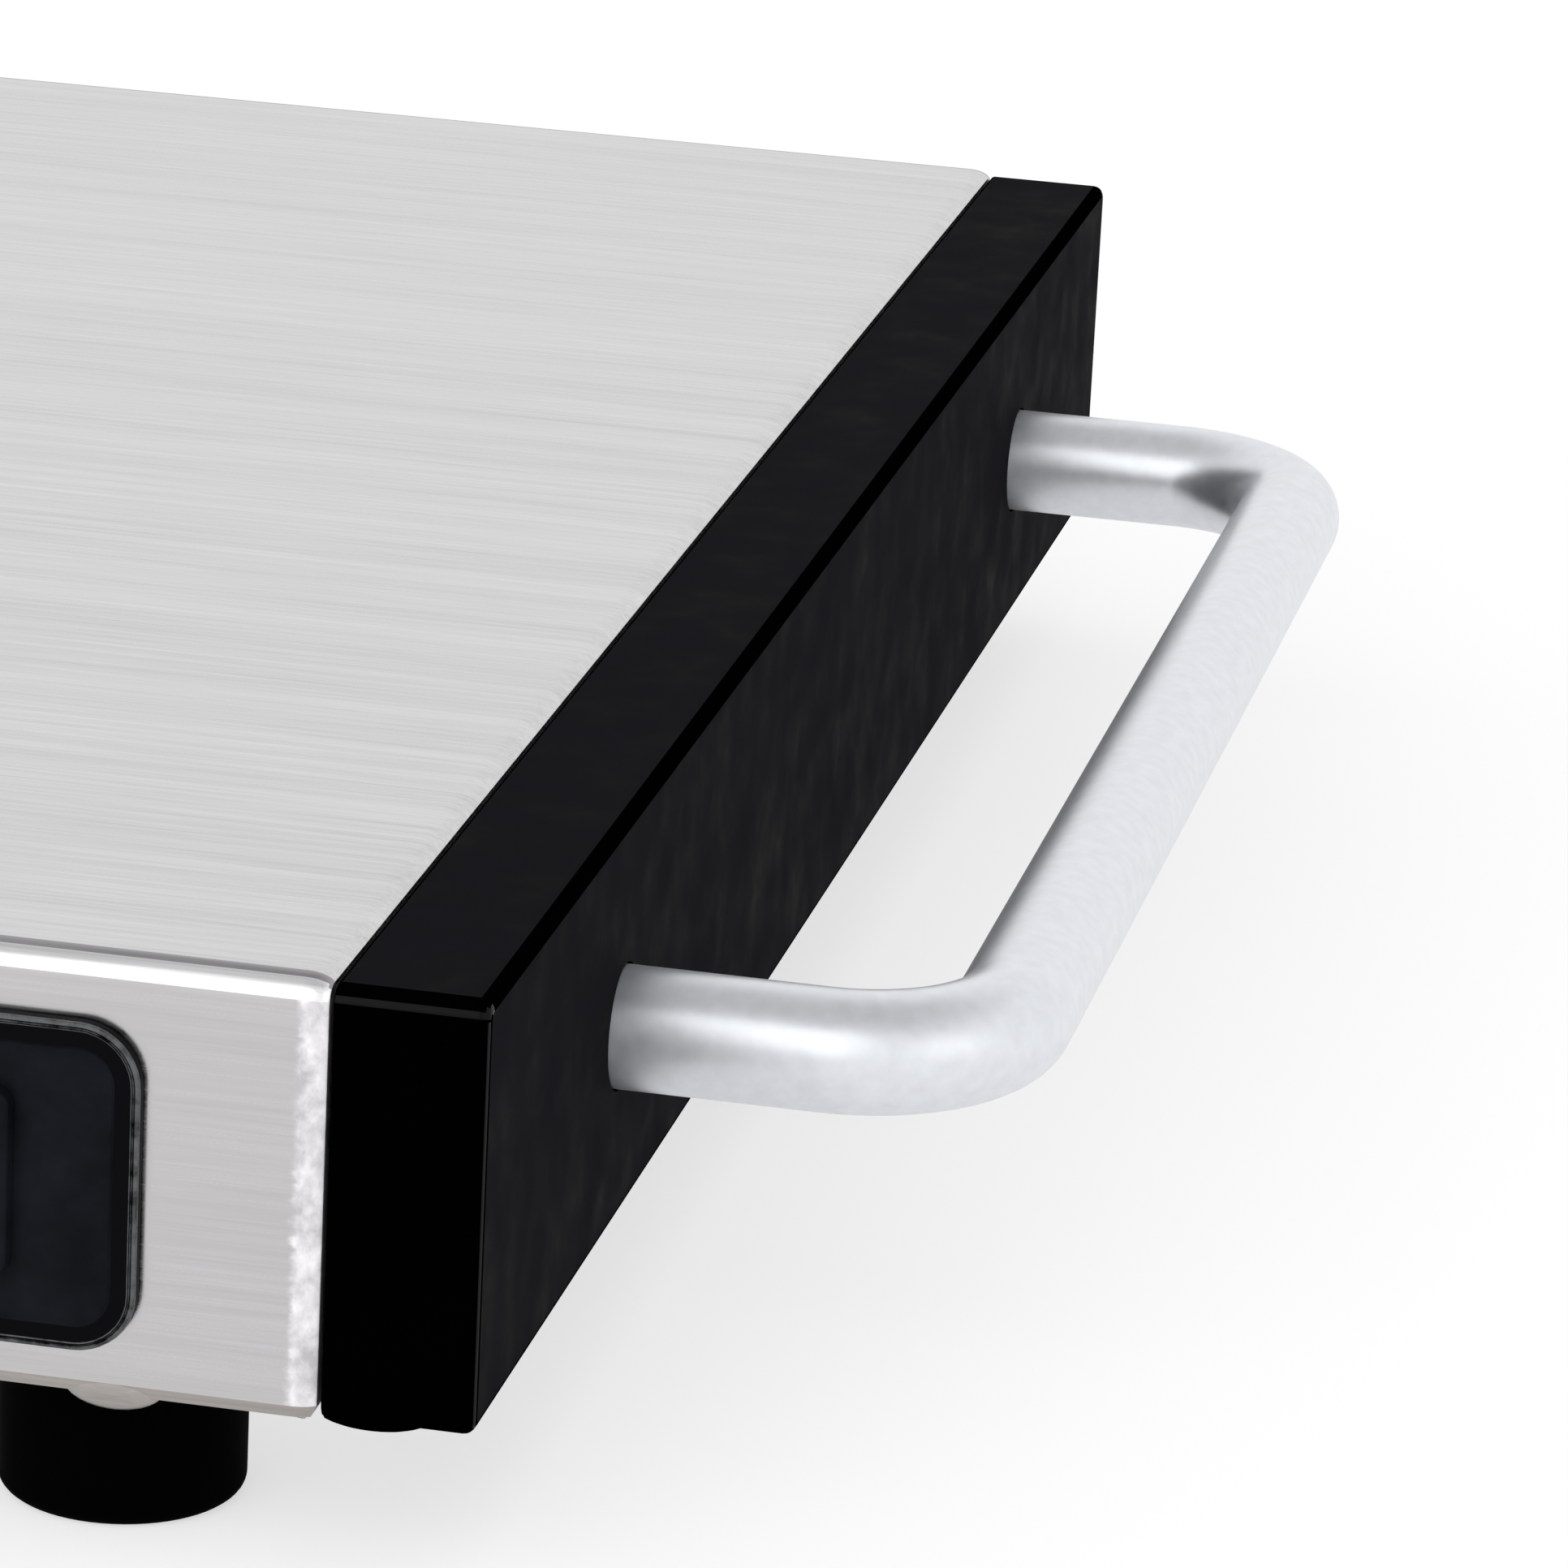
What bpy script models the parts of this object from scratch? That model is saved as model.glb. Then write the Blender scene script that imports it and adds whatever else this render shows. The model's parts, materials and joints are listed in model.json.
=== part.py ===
"""Electric food warmer tray: a flat stainless warming tray with plastic end caps and tube handles.

Metres, +Z up, front at -Y. The feet stand on Z = 0. Sizes are measured from the middle of the body.
An empty carries every piece, so that the middle of the whole, knob and inlet included, is at X = Y = 0.
"""
import math

import bmesh
import bpy

# Driving sizes of the whole tray
BODY_LENGTH = 0.560
BODY_DEPTH = 0.380
BODY_HEIGHT = 0.048
BODY_LIFT = 0.0184
SEAT_GAP = 0.0003
OVERRUN = 0.004

# Stainless cover: sheet metal with four aprons and a lip turned in underneath
SHEET = 0.0006
COVER_PROUD = 0.0008
COVER_BEND = 0.0030
LIP_BEND = 0.0016
LIP_WIDTH = 0.0110

# Base plate under the lip, and its screws
BASE_THICKNESS = 0.0008
BASE_INSET = 0.0035
BASE_CORNER = 0.0060
BASE_SCREW_INSET = 0.0570
BASE_SCREW_RADIUS = 0.0015
BASE_SCREW_HEAD_RADIUS = 0.0029
BASE_SCREW_HEAD_HEIGHT = 0.0016
BASE_SCREW_END = 0.0035
WELD_NUT_RADIUS = 0.0045
WELD_NUT_HEIGHT = 0.0032
SCREW_CLEARANCE = 0.0002
HEAD_CROWN_SHARE = 0.8

# Plastic end caps
CAP_WIDTH = 0.0166
CAP_EDGE = 0.0014
CAP_WALL = 0.0025
CAP_WEB = 0.020
TUBE_RECESS = 0.0015

# Handles: bent tube, clamped from inside through cap and cover
HANDLE_RADIUS = 0.0070
HANDLE_WALL = 0.0015
HANDLE_SPAN = 0.2482
HANDLE_REACH = 0.0408
HANDLE_BEND = 0.0180
HANDLE_HEIGHT = 0.0234
INSERT_LENGTH = 0.0140
HANDLE_SCREW_RADIUS = 0.0025
HANDLE_SCREW_GRIP = 0.0110
HANDLE_SCREW_HEAD_RADIUS = 0.0046
HANDLE_SCREW_HEAD_HEIGHT = 0.0030
HANDLE_WASHER_RADIUS = 0.0056
HANDLE_WASHER_HEIGHT = 0.0010

# Rubber feet
FOOT_RADIUS = 0.0135
FOOT_EDGE = 0.0018
FOOT_INSET_X = 0.0434
FOOT_INSET_Y = 0.0200
FOOT_RECESS_RADIUS = 0.0060
FOOT_RECESS_DEPTH = 0.0080
FOOT_SCREW_RADIUS = 0.0020
FOOT_SCREW_HEAD_RADIUS = 0.0040
FOOT_SCREW_HEAD_HEIGHT = 0.0026

# Control panel on the front apron; its right end is measured from the cap's outer face
PANEL_LENGTH = 0.1180
PANEL_HEIGHT = 0.0365
PANEL_DEPTH = 0.0015
PANEL_CORNER = 0.0068
PANEL_EDGE = 0.0007
PANEL_RIGHT_INSET = 0.0362
PANEL_MIDDLE = 0.0236
PANEL_RIM = 0.0030
PANEL_RECESS = 0.0005

# Rocker switch
ROCKER_INSET = 0.0211
BEZEL_WIDTH = 0.0150
BEZEL_HEIGHT = 0.0205
BEZEL_DEPTH = 0.0020
BEZEL_EDGE = 0.0007
SWITCH_WIDTH = 0.0128
SWITCH_HEIGHT = 0.0184
SWITCH_REACH = 0.0120
SWITCH_FIT = 0.0003
POCKET_WIDTH = 0.0100
POCKET_HEIGHT = 0.0166
POCKET_DEPTH = 0.0075
ROCKER_FIT = 0.0003
ROCKER_TILT = math.radians(8.0)
ROCKER_PIVOT_DEPTH = 0.0022
ROCKER_HALF = 0.0079
ROCKER_CROWN = 0.0016
ROCKER_DIP = 0.0008
ROCKER_BODY = 0.0016
ROCKER_STEM = 0.0034
ROCKER_STEM_HALF = 0.0020
PIVOT_RADIUS = 0.0010
PIVOT_FIT = 0.00008
PIVOT_STUB = 0.0012
BLADE_WIDTH = 0.0048
BLADE_THICKNESS = 0.0008
BLADE_SEAT = 0.0035
BLADE_TAIL = 0.0080
BLADE_SPREAD = 0.0120

# Thermostat and its knob
KNOB_END_INSET = 0.0300
KNOB_RADIUS = 0.0115
KNOB_SKIRT = 0.0030
KNOB_GRIP_RADIUS = 0.0095
KNOB_DEPTH = 0.0175
KNOB_EDGE = 0.0008
KNOB_STANDOFF = 0.0005
KNOB_HOLLOW_RADIUS = 0.0080
KNOB_HOLLOW_DEPTH = 0.0050
KNOB_SOCKET_DEPTH = 0.0065
KNOB_HALF_TURN = math.radians(135.0)
POINTER_WIDTH = 0.0016
POINTER_HEIGHT = 0.0006
SHAFT_RADIUS = 0.0030
SHAFT_FIT = 0.00010
SHAFT_TIP_GAP = 0.0004
BUSH_RADIUS = 0.0045
BUSH_STANDOUT = 0.0035
BUSH_FIT = 0.0003
NUT_RADIUS = 0.0066
NUT_HEIGHT = 0.0022
THERMO_WIDTH = 0.0300
THERMO_HEIGHT = 0.0280
THERMO_DEPTH = 0.0150
SHAFT_SEAT = 0.0080

# Pilot lamp
PILOT_GAP = 0.0320
LENS_RADIUS = 0.0042
LENS_FLANGE_RADIUS = 0.0050
LENS_FLANGE = 0.0010
LENS_DOME = 0.0018
LENS_STEM_RADIUS = 0.0034
LENS_STEM_REACH = 0.0070
PILOT_HOLDER_RADIUS = 0.0058
PILOT_HOLDER_DEPTH = 0.0055
PILOT_FIT = 0.0003

# Heating stack under the cover; each layer keeps a margin to the one above it
SPREADER_MARGIN_X = 0.0125
SPREADER_MARGIN_Y = 0.0282
SPREADER_THICKNESS = 0.0010
ELEMENT_RADIUS = 0.0032
ELEMENT_MARGIN = 0.0350
ELEMENT_RUNS = 4
ELEMENT_TURN_INSET = 0.0600
ELEMENT_OVERHANG = 0.0080
ELEMENT_PIN_RADIUS = 0.0015
ELEMENT_PIN_LENGTH = 0.0080
CLIP_THICKNESS = 0.0006
CLIP_WIDTH = 0.0120
CLIP_FOOT = 0.0070
CLIP_INSET = 0.0400
PAD_MARGIN_X = 0.0200
PAD_MARGIN_Y = 0.0220
PAD_THICKNESS = 0.0120
RETAINER_THICKNESS = 0.0006
RETAINER_LEG = 0.0250
CUTOUT_INSET = 0.1300
CUTOUT_FORWARD = 0.0100
CUTOUT_RADIUS = 0.0075
CUTOUT_RIM = 0.0006
CUTOUT_DEPTH = 0.0070
CUTOUT_FLANGE_LENGTH = 0.0240
CUTOUT_FLANGE_THICKNESS = 0.0010
CUTOUT_BLADE_SPREAD = 0.0090
CUTOUT_BLADE_LENGTH = 0.0060

# Mains inlet in the rear apron
INLET_INSET = 0.0800
INLET_FLANGE_WIDTH = 0.0310
INLET_FLANGE_HEIGHT = 0.0230
INLET_FLANGE_DEPTH = 0.0025
INLET_FLANGE_CORNER = 0.0020
INLET_BODY_WIDTH = 0.0274
INLET_BODY_HEIGHT = 0.0196
INLET_REACH = 0.0180
INLET_CAVITY_WIDTH = 0.0240
INLET_CAVITY_HEIGHT = 0.0164
INLET_CHAMFER = 0.0050
INLET_BACK = 0.0030
INLET_FIT = 0.0003
PIN_WIDTH = 0.0020
PIN_HEIGHT = 0.0040
PIN_SPREAD = 0.0140
PIN_RAISE = 0.0040
PIN_RECESS = 0.0030
PIN_TAIL = 0.0070
PIN_FIT = 0.00015

# Wires inside
WIRE_RADIUS = 0.0012
EARTH_INSET_X = 0.1300
EARTH_INSET_Y = 0.0400
EARTH_SCREW_END = 0.0090

# How finely round things are cut
ROUND_SIDES = 32
FOOT_SIDES = 28
TUBE_SIDES = 24
SCREW_SIDES = 16
WIRE_SIDES = 12
BEND_STEPS = 7
CORNER_STEPS = 5
BEVEL_STEPS = 3
BEVEL_ROUND_SHARE = 0.5

# Places worked out from the sizes above
BODY_TOP = BODY_LIFT + BODY_HEIGHT
COVER_TOP = BODY_TOP + COVER_PROUD
COVER_HEIGHT = BODY_HEIGHT + COVER_PROUD
COVER_DEPTH = BODY_DEPTH + COVER_PROUD * 2
CAP_INNER_X = BODY_LENGTH / 2 - CAP_WIDTH
COVER_END_X = CAP_INNER_X - SEAT_GAP
COVER_LENGTH = COVER_END_X * 2
COVER_FRONT_Y = -COVER_DEPTH / 2
INNER_END_X = COVER_END_X - SHEET
INNER_FRONT_Y = COVER_FRONT_Y + SHEET
HANDLE_Z = BODY_LIFT + HANDLE_HEIGHT
BASE_TOP = BODY_LIFT - SEAT_GAP
BASE_BOTTOM = BASE_TOP - BASE_THICKNESS
BASE_LENGTH = COVER_LENGTH - BASE_INSET * 2
BASE_DEPTH = COVER_DEPTH - BASE_INSET * 2
BASE_SCREW_Y = COVER_DEPTH / 2 - (BASE_INSET + LIP_WIDTH) / 2
FOOT_X = BODY_LENGTH / 2 - FOOT_INSET_X
FOOT_Y = BODY_DEPTH / 2 - FOOT_INSET_Y
FOOT_TOP = BASE_BOTTOM - SEAT_GAP
BASE_SCREW_X = FOOT_X - BASE_SCREW_INSET

PANEL_RIGHT_X = BODY_LENGTH / 2 - PANEL_RIGHT_INSET
PANEL_X = PANEL_RIGHT_X - PANEL_LENGTH / 2
PANEL_Z = BODY_LIFT + PANEL_MIDDLE
PANEL_BACK_Y = COVER_FRONT_Y - SEAT_GAP
PANEL_FRONT_Y = PANEL_BACK_Y - PANEL_DEPTH
PANEL_FLOOR_Y = PANEL_FRONT_Y + PANEL_RECESS
ROCKER_X = PANEL_RIGHT_X - ROCKER_INSET
BEZEL_BACK_Y = PANEL_FLOOR_Y - SEAT_GAP
BEZEL_FRONT_Y = BEZEL_BACK_Y - BEZEL_DEPTH
SWITCH_BACK_Y = INNER_FRONT_Y + SWITCH_REACH
PIVOT_Y = BEZEL_FRONT_Y + ROCKER_PIVOT_DEPTH
KNOB_X = PANEL_RIGHT_X - PANEL_LENGTH + KNOB_END_INSET
PILOT_X = KNOB_X + PILOT_GAP
THERMO_FRONT_Y = INNER_FRONT_Y + SEAT_GAP
THERMO_BACK_Y = THERMO_FRONT_Y + THERMO_DEPTH
BUSH_FRONT_Y = PANEL_FLOOR_Y - BUSH_STANDOUT
KNOB_BACK_Y = PANEL_FLOOR_Y - KNOB_STANDOFF
KNOB_FRONT_Y = KNOB_BACK_Y - KNOB_DEPTH
SHAFT_FRONT_Y = KNOB_BACK_Y - KNOB_HOLLOW_DEPTH - KNOB_SOCKET_DEPTH + SHAFT_TIP_GAP
SHAFT_BACK_Y = THERMO_FRONT_Y + SHAFT_SEAT - SHAFT_TIP_GAP

SPREADER_LENGTH = (INNER_END_X - SPREADER_MARGIN_X) * 2
SPREADER_DEPTH = (-INNER_FRONT_Y - SPREADER_MARGIN_Y) * 2
PAD_LENGTH = SPREADER_LENGTH - PAD_MARGIN_X * 2
PAD_DEPTH = SPREADER_DEPTH - PAD_MARGIN_Y * 2
ELEMENT_PITCH = (PAD_DEPTH - ELEMENT_MARGIN * 2) / (ELEMENT_RUNS - 1)
ELEMENT_TURN_X = PAD_LENGTH / 2 - ELEMENT_TURN_INSET
SPREADER_TOP = COVER_TOP - SHEET - SEAT_GAP
SPREADER_BOTTOM = SPREADER_TOP - SPREADER_THICKNESS
ELEMENT_Z = SPREADER_BOTTOM - SEAT_GAP - ELEMENT_RADIUS
CLIP_BOTTOM = ELEMENT_Z - ELEMENT_RADIUS - SEAT_GAP - CLIP_THICKNESS
PAD_TOP = CLIP_BOTTOM - SEAT_GAP
PAD_BOTTOM = PAD_TOP - PAD_THICKNESS
RETAINER_TOP = PAD_BOTTOM - SEAT_GAP
RETAINER_FOOT = BASE_TOP + SEAT_GAP
ELEMENT_END_X = PAD_LENGTH / 2 + ELEMENT_OVERHANG
CUTOUT_X = PAD_LENGTH / 2 - CUTOUT_INSET
CUTOUT_Y = -PAD_DEPTH / 2 - CUTOUT_FORWARD
CUTOUT_TOP = SPREADER_BOTTOM - SEAT_GAP

INLET_X = BODY_LENGTH / 2 - INLET_INSET
INLET_Z = BODY_LIFT + BODY_HEIGHT / 2
REAR_Y = COVER_DEPTH / 2
INLET_FLANGE_Y = REAR_Y + SEAT_GAP
INLET_MOUTH_Y = INLET_FLANGE_Y + INLET_FLANGE_DEPTH
INLET_INNER_Y = REAR_Y - INLET_REACH
EARTH_X = BODY_LENGTH / 2 - EARTH_INSET_X
EARTH_Y = BODY_DEPTH / 2 - EARTH_INSET_Y

FRONT_REACH = -KNOB_FRONT_Y + POINTER_HEIGHT
CENTRE_SHIFT = (FRONT_REACH - INLET_MOUTH_Y) / 2

SIDES = (("right", 1), ("left", -1))
ENDS = (("front", -1), ("rear", 1))


def clear_scene():
    """Start from an empty file."""
    for old in list(bpy.data.objects):
        bpy.data.objects.remove(old, do_unlink=True)


def make_collection(name):
    """A new collection linked to the scene."""
    collection = bpy.data.collections.new(name)
    bpy.context.scene.collection.children.link(collection)
    return collection


def make_carrier():
    """The empty that carries every piece."""
    carrier = bpy.data.objects.new("tray_middle", None)
    carrier.location = (0, CENTRE_SHIFT, 0)
    TRAY.objects.link(carrier)
    return carrier


clear_scene()
TRAY = make_collection("electric_food_warmer_tray")
CUTTERS = make_collection("cutters")
CARRIER = make_carrier()


def make_material(name, colour, roughness, metallic):
    """One Principled material."""
    material = bpy.data.materials.new(name)
    material.use_nodes = True
    shader = material.node_tree.nodes["Principled BSDF"]
    shader.inputs["Base Color"].default_value = (*colour, 1.0)
    shader.inputs["Roughness"].default_value = roughness
    shader.inputs["Metallic"].default_value = metallic
    return material


BRUSHED_STEEL = make_material("brushed_steel", (0.63, 0.62, 0.62), 0.32, 1.0)
BLACK_PLASTIC = make_material("black_plastic", (0.012, 0.012, 0.014), 0.38, 0.0)
PANEL_PLASTIC = make_material("panel_plastic", (0.010, 0.012, 0.015), 0.34, 0.0)
SATIN_ALUMINIUM = make_material("satin_aluminium", (0.70, 0.71, 0.72), 0.42, 1.0)
BLACK_RUBBER = make_material("black_rubber", (0.008, 0.008, 0.008), 0.75, 0.0)
ZINC_STEEL = make_material("zinc_steel", (0.50, 0.51, 0.52), 0.40, 1.0)
BRASS = make_material("brass", (0.72, 0.55, 0.25), 0.35, 1.0)
AMBER_LENS = make_material("amber_lens", (0.80, 0.22, 0.03), 0.15, 0.0)
INSULATION = make_material("insulation", (0.82, 0.80, 0.74), 0.95, 0.0)
ELEMENT_SHEATH = make_material("element_sheath", (0.22, 0.21, 0.20), 0.50, 1.0)
WIRE_BROWN = make_material("wire_brown", (0.16, 0.06, 0.02), 0.50, 0.0)
WIRE_BLUE = make_material("wire_blue", (0.02, 0.08, 0.30), 0.50, 0.0)
WIRE_EARTH = make_material("wire_earth", (0.10, 0.35, 0.05), 0.50, 0.0)


def add_part(name, bm, material, location=(0, 0, 0), rotation=(0, 0, 0)):
    """Turn a bmesh into a named part with its own material."""
    bmesh.ops.recalc_face_normals(bm, faces=bm.faces[:])
    mesh = bpy.data.meshes.new(name)
    bm.to_mesh(mesh)
    bm.free()
    mesh.materials.append(material)
    part = bpy.data.objects.new(name, mesh)
    part.parent = CARRIER
    part.location = location
    part.rotation_euler = rotation
    TRAY.objects.link(part)
    return part


def combine(part, tools, operation):
    """Cut or join one group of tool shapes with a part by an exact Boolean."""
    bm = bmesh.new()
    for tool in tools:
        mesh = bpy.data.meshes.new("tool")
        bmesh.ops.recalc_face_normals(tool, faces=tool.faces[:])
        tool.to_mesh(mesh)
        tool.free()
        bm.from_mesh(mesh)
        bpy.data.meshes.remove(mesh)
    mesh = bpy.data.meshes.new(part.name + "_tool")
    bm.to_mesh(mesh)
    bm.free()
    tool_object = bpy.data.objects.new(part.name + "_tool", mesh)
    tool_object.parent = CARRIER
    tool_object.location = part.location
    tool_object.rotation_euler = part.rotation_euler
    tool_object.hide_render = True
    tool_object.display_type = "WIRE"
    CUTTERS.objects.link(tool_object)
    modifier = part.modifiers.new(operation.lower(), "BOOLEAN")
    modifier.operation = operation
    modifier.solver = "EXACT"
    modifier.object = tool_object


def cut(part, *tools):
    combine(part, tools, "DIFFERENCE")


def join(part, *tools):
    combine(part, tools, "UNION")


def box(low, high):
    """A block between two corners."""
    bm = bmesh.new()
    bmesh.ops.create_cube(bm, size=1.0)
    for vert in bm.verts:
        for axis in range(3):
            middle = (low[axis] + high[axis]) / 2
            vert.co[axis] = middle + vert.co[axis] * (high[axis] - low[axis])
    return bm


def bevel_edges(bm, chosen, radius, steps=BEVEL_STEPS):
    """Round the edges whose two ends pass a test."""
    edges = [edge for edge in bm.edges if chosen(edge.verts[0].co, edge.verts[1].co)]
    bmesh.ops.bevel(bm, geom=edges, offset=radius, segments=steps, profile=BEVEL_ROUND_SHARE,
                    affect="EDGES", clamp_overlap=True)
    return bm


def place(axis, along, across, up):
    """Map a shape drawn on its own axis to the part; the other two axes follow in the order X, Y, Z, X."""
    if axis == "X":
        return (along, across, up)
    if axis == "Y":
        return (up, along, across)
    return (across, up, along)


def extrude_outline(outline, axis, low, high):
    """A prism: a flat outline carried along an axis."""
    bm = bmesh.new()
    first = [bm.verts.new(place(axis, low, u, v)) for u, v in outline]
    last = [bm.verts.new(place(axis, high, u, v)) for u, v in outline]
    bm.faces.new(first)
    bm.faces.new(last[::-1])
    count = len(outline)
    for i in range(count):
        j = (i + 1) % count
        bm.faces.new((first[j], first[i], last[i], last[j]))
    return bm


def arc(centre, radius, start, end, steps):
    """Points on an arc, both ends included."""
    points = []
    for i in range(steps + 1):
        angle = start + (end - start) * i / steps
        points.append((centre[0] + radius * math.cos(angle), centre[1] + radius * math.sin(angle)))
    return points


def rounded_rectangle(width, height, corner, centre=(0, 0)):
    """Outline of a rectangle with round corners."""
    points = []
    quarter = math.pi / 2
    signs = ((1, 1), (-1, 1), (-1, -1), (1, -1))
    for i, (su, sv) in enumerate(signs):
        middle = (centre[0] + su * (width / 2 - corner), centre[1] + sv * (height / 2 - corner))
        points += arc(middle, corner, quarter * i, quarter * (i + 1), CORNER_STEPS)
    return points


def lathe(profile, axis, sides, centre=(0, 0)):
    """Turn a closed profile of (distance along axis, radius) round an axis; radius 0 makes a pole."""
    bm = bmesh.new()
    rings = []
    for along, radius in profile:
        if radius == 0:
            rings.append([bm.verts.new(place(axis, along, centre[0], centre[1]))])
            continue
        ring = []
        for i in range(sides):
            angle = math.tau * i / sides
            across = centre[0] + radius * math.cos(angle)
            up = centre[1] + radius * math.sin(angle)
            ring.append(bm.verts.new(place(axis, along, across, up)))
        rings.append(ring)
    for k, ring in enumerate(rings):
        following = rings[(k + 1) % len(rings)]
        if len(ring) == 1 and len(following) == 1:
            continue
        for i in range(sides):
            j = (i + 1) % sides
            corners = [ring[i % len(ring)], ring[j % len(ring)]]
            corners += [following[j % len(following)], following[i % len(following)]]
            bm.faces.new(list(dict.fromkeys(corners)))
    return bm


def rod(axis, low, high, radius, sides=ROUND_SIDES, centre=(0, 0)):
    """A plain cylinder."""
    return lathe(((low, 0), (low, radius), (high, radius), (high, 0)), axis, sides, centre)


def tube_along(path, radius, bore, sides):
    """Sweep a round section along a flat path in the XY plane; bore 0 makes it solid."""
    bm = bmesh.new()
    rings = []
    count = len(path)
    for k, (x, y) in enumerate(path):
        before = path[max(k - 1, 0)]
        after = path[min(k + 1, count - 1)]
        length = math.hypot(after[0] - before[0], after[1] - before[1])
        side = ((before[1] - after[1]) / length, (after[0] - before[0]) / length)
        layers = []
        for size in ((radius, bore) if bore else (radius,)):
            ring = []
            for i in range(sides):
                angle = math.tau * i / sides
                out = size * math.cos(angle)
                up = size * math.sin(angle)
                ring.append(bm.verts.new((x + side[0] * out, y + side[1] * out, up)))
            layers.append(ring)
        rings.append(layers)
    for k in range(count - 1):
        for layer in range(len(rings[k])):
            for i in range(sides):
                j = (i + 1) % sides
                near = rings[k][layer]
                far = rings[k + 1][layer]
                bm.faces.new((near[i], near[j], far[j], far[i]))
    for layers in (rings[0], rings[-1]):
        if not bore:
            bm.faces.new(layers[0])
            continue
        for i in range(sides):
            j = (i + 1) % sides
            bm.faces.new((layers[0][i], layers[0][j], layers[1][j], layers[1][i]))
    return bm


def screw_shape(axis, seat, end, shank, head, head_height, washer=0, washer_height=0):
    """A screw whose head lies behind its seat and whose shank runs to its end."""
    away = -1 if end > seat else 1
    under = seat + away * washer_height
    top = under + away * head_height
    tip = end + away * shank / 2
    profile = [(top, 0), (top, head * HEAD_CROWN_SHARE), (under + away * head_height / 2, head)]
    if washer:
        profile += [(under, head), (under, washer), (seat, washer)]
    else:
        profile += [(seat, head)]
    profile += [(seat, shank), (tip, shank), (end, shank / 2), (end, 0)]
    return lathe(profile, axis, SCREW_SIDES)


def cover():
    """Stainless cover with its lip and cut-outs."""
    half = (COVER_LENGTH / 2, COVER_DEPTH / 2)
    shell = box((-half[0], -half[1], 0), (half[0], half[1], COVER_HEIGHT))
    middle = COVER_HEIGHT / 2
    bevel_edges(shell, lambda a, b: a.z + b.z > middle * 2 or a.z != b.z, COVER_BEND)
    bevel_edges(shell, lambda a, b: a.z == 0 and b.z == 0, LIP_BEND)
    part = add_part("top_cover", shell, BRUSHED_STEEL, (0, 0, BODY_LIFT))
    inside = box((-half[0] + SHEET, -half[1] + SHEET, SHEET),
                 (half[0] - SHEET, half[1] - SHEET, COVER_HEIGHT - SHEET))
    bevel_edges(inside, lambda a, b: a.z + b.z > middle * 2 or a.z != b.z, COVER_BEND - SHEET)
    bevel_edges(inside, lambda a, b: a.z == SHEET and b.z == SHEET, LIP_BEND - SHEET)
    cut(part, inside)
    mouth = box((-half[0] + LIP_WIDTH, -half[1] + LIP_WIDTH, -OVERRUN),
                (half[0] - LIP_WIDTH, half[1] - LIP_WIDTH, SHEET + OVERRUN))
    cut(part, mouth)
    front = (COVER_FRONT_Y - OVERRUN, INNER_FRONT_Y + OVERRUN)
    panel_z = PANEL_Z - BODY_LIFT
    switch_half = (SWITCH_WIDTH / 2 + SWITCH_FIT, SWITCH_HEIGHT / 2 + SWITCH_FIT)
    holes = [box((ROCKER_X - switch_half[0], front[0], panel_z - switch_half[1]),
                 (ROCKER_X + switch_half[0], front[1], panel_z + switch_half[1])),
             rod("Y", front[0], front[1], BUSH_RADIUS + BUSH_FIT, centre=(panel_z, KNOB_X)),
             rod("Y", front[0], front[1], LENS_STEM_RADIUS + PILOT_FIT, centre=(panel_z, PILOT_X))]
    inlet_z = INLET_Z - BODY_LIFT
    inlet_half = (INLET_BODY_WIDTH / 2 + INLET_FIT, INLET_BODY_HEIGHT / 2 + INLET_FIT)
    holes += [box((INLET_X - inlet_half[0], REAR_Y - SHEET - OVERRUN, inlet_z - inlet_half[1]),
                  (INLET_X + inlet_half[0], REAR_Y + OVERRUN, inlet_z + inlet_half[1]))]
    for _, side in SIDES:
        for _, end in ENDS:
            holes.append(rod("X", side * (INNER_END_X - OVERRUN), side * (COVER_END_X + OVERRUN),
                             HANDLE_SCREW_RADIUS + SCREW_CLEARANCE, SCREW_SIDES,
                             (end * HANDLE_SPAN / 2, HANDLE_HEIGHT)))
    for x, y in base_screw_places():
        holes.append(rod("Z", -OVERRUN, SHEET + OVERRUN, BASE_SCREW_RADIUS + SCREW_CLEARANCE,
                         SCREW_SIDES, (x, y)))
    cut(part, *holes)


def base_screw_places():
    return [(column * BASE_SCREW_X, end * BASE_SCREW_Y) for column in (-1, 0, 1) for _, end in ENDS]


def foot_places():
    return [(f"{side_name}_{end_name}", side * FOOT_X, end * FOOT_Y)
            for side_name, side in SIDES for end_name, end in ENDS]


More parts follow.
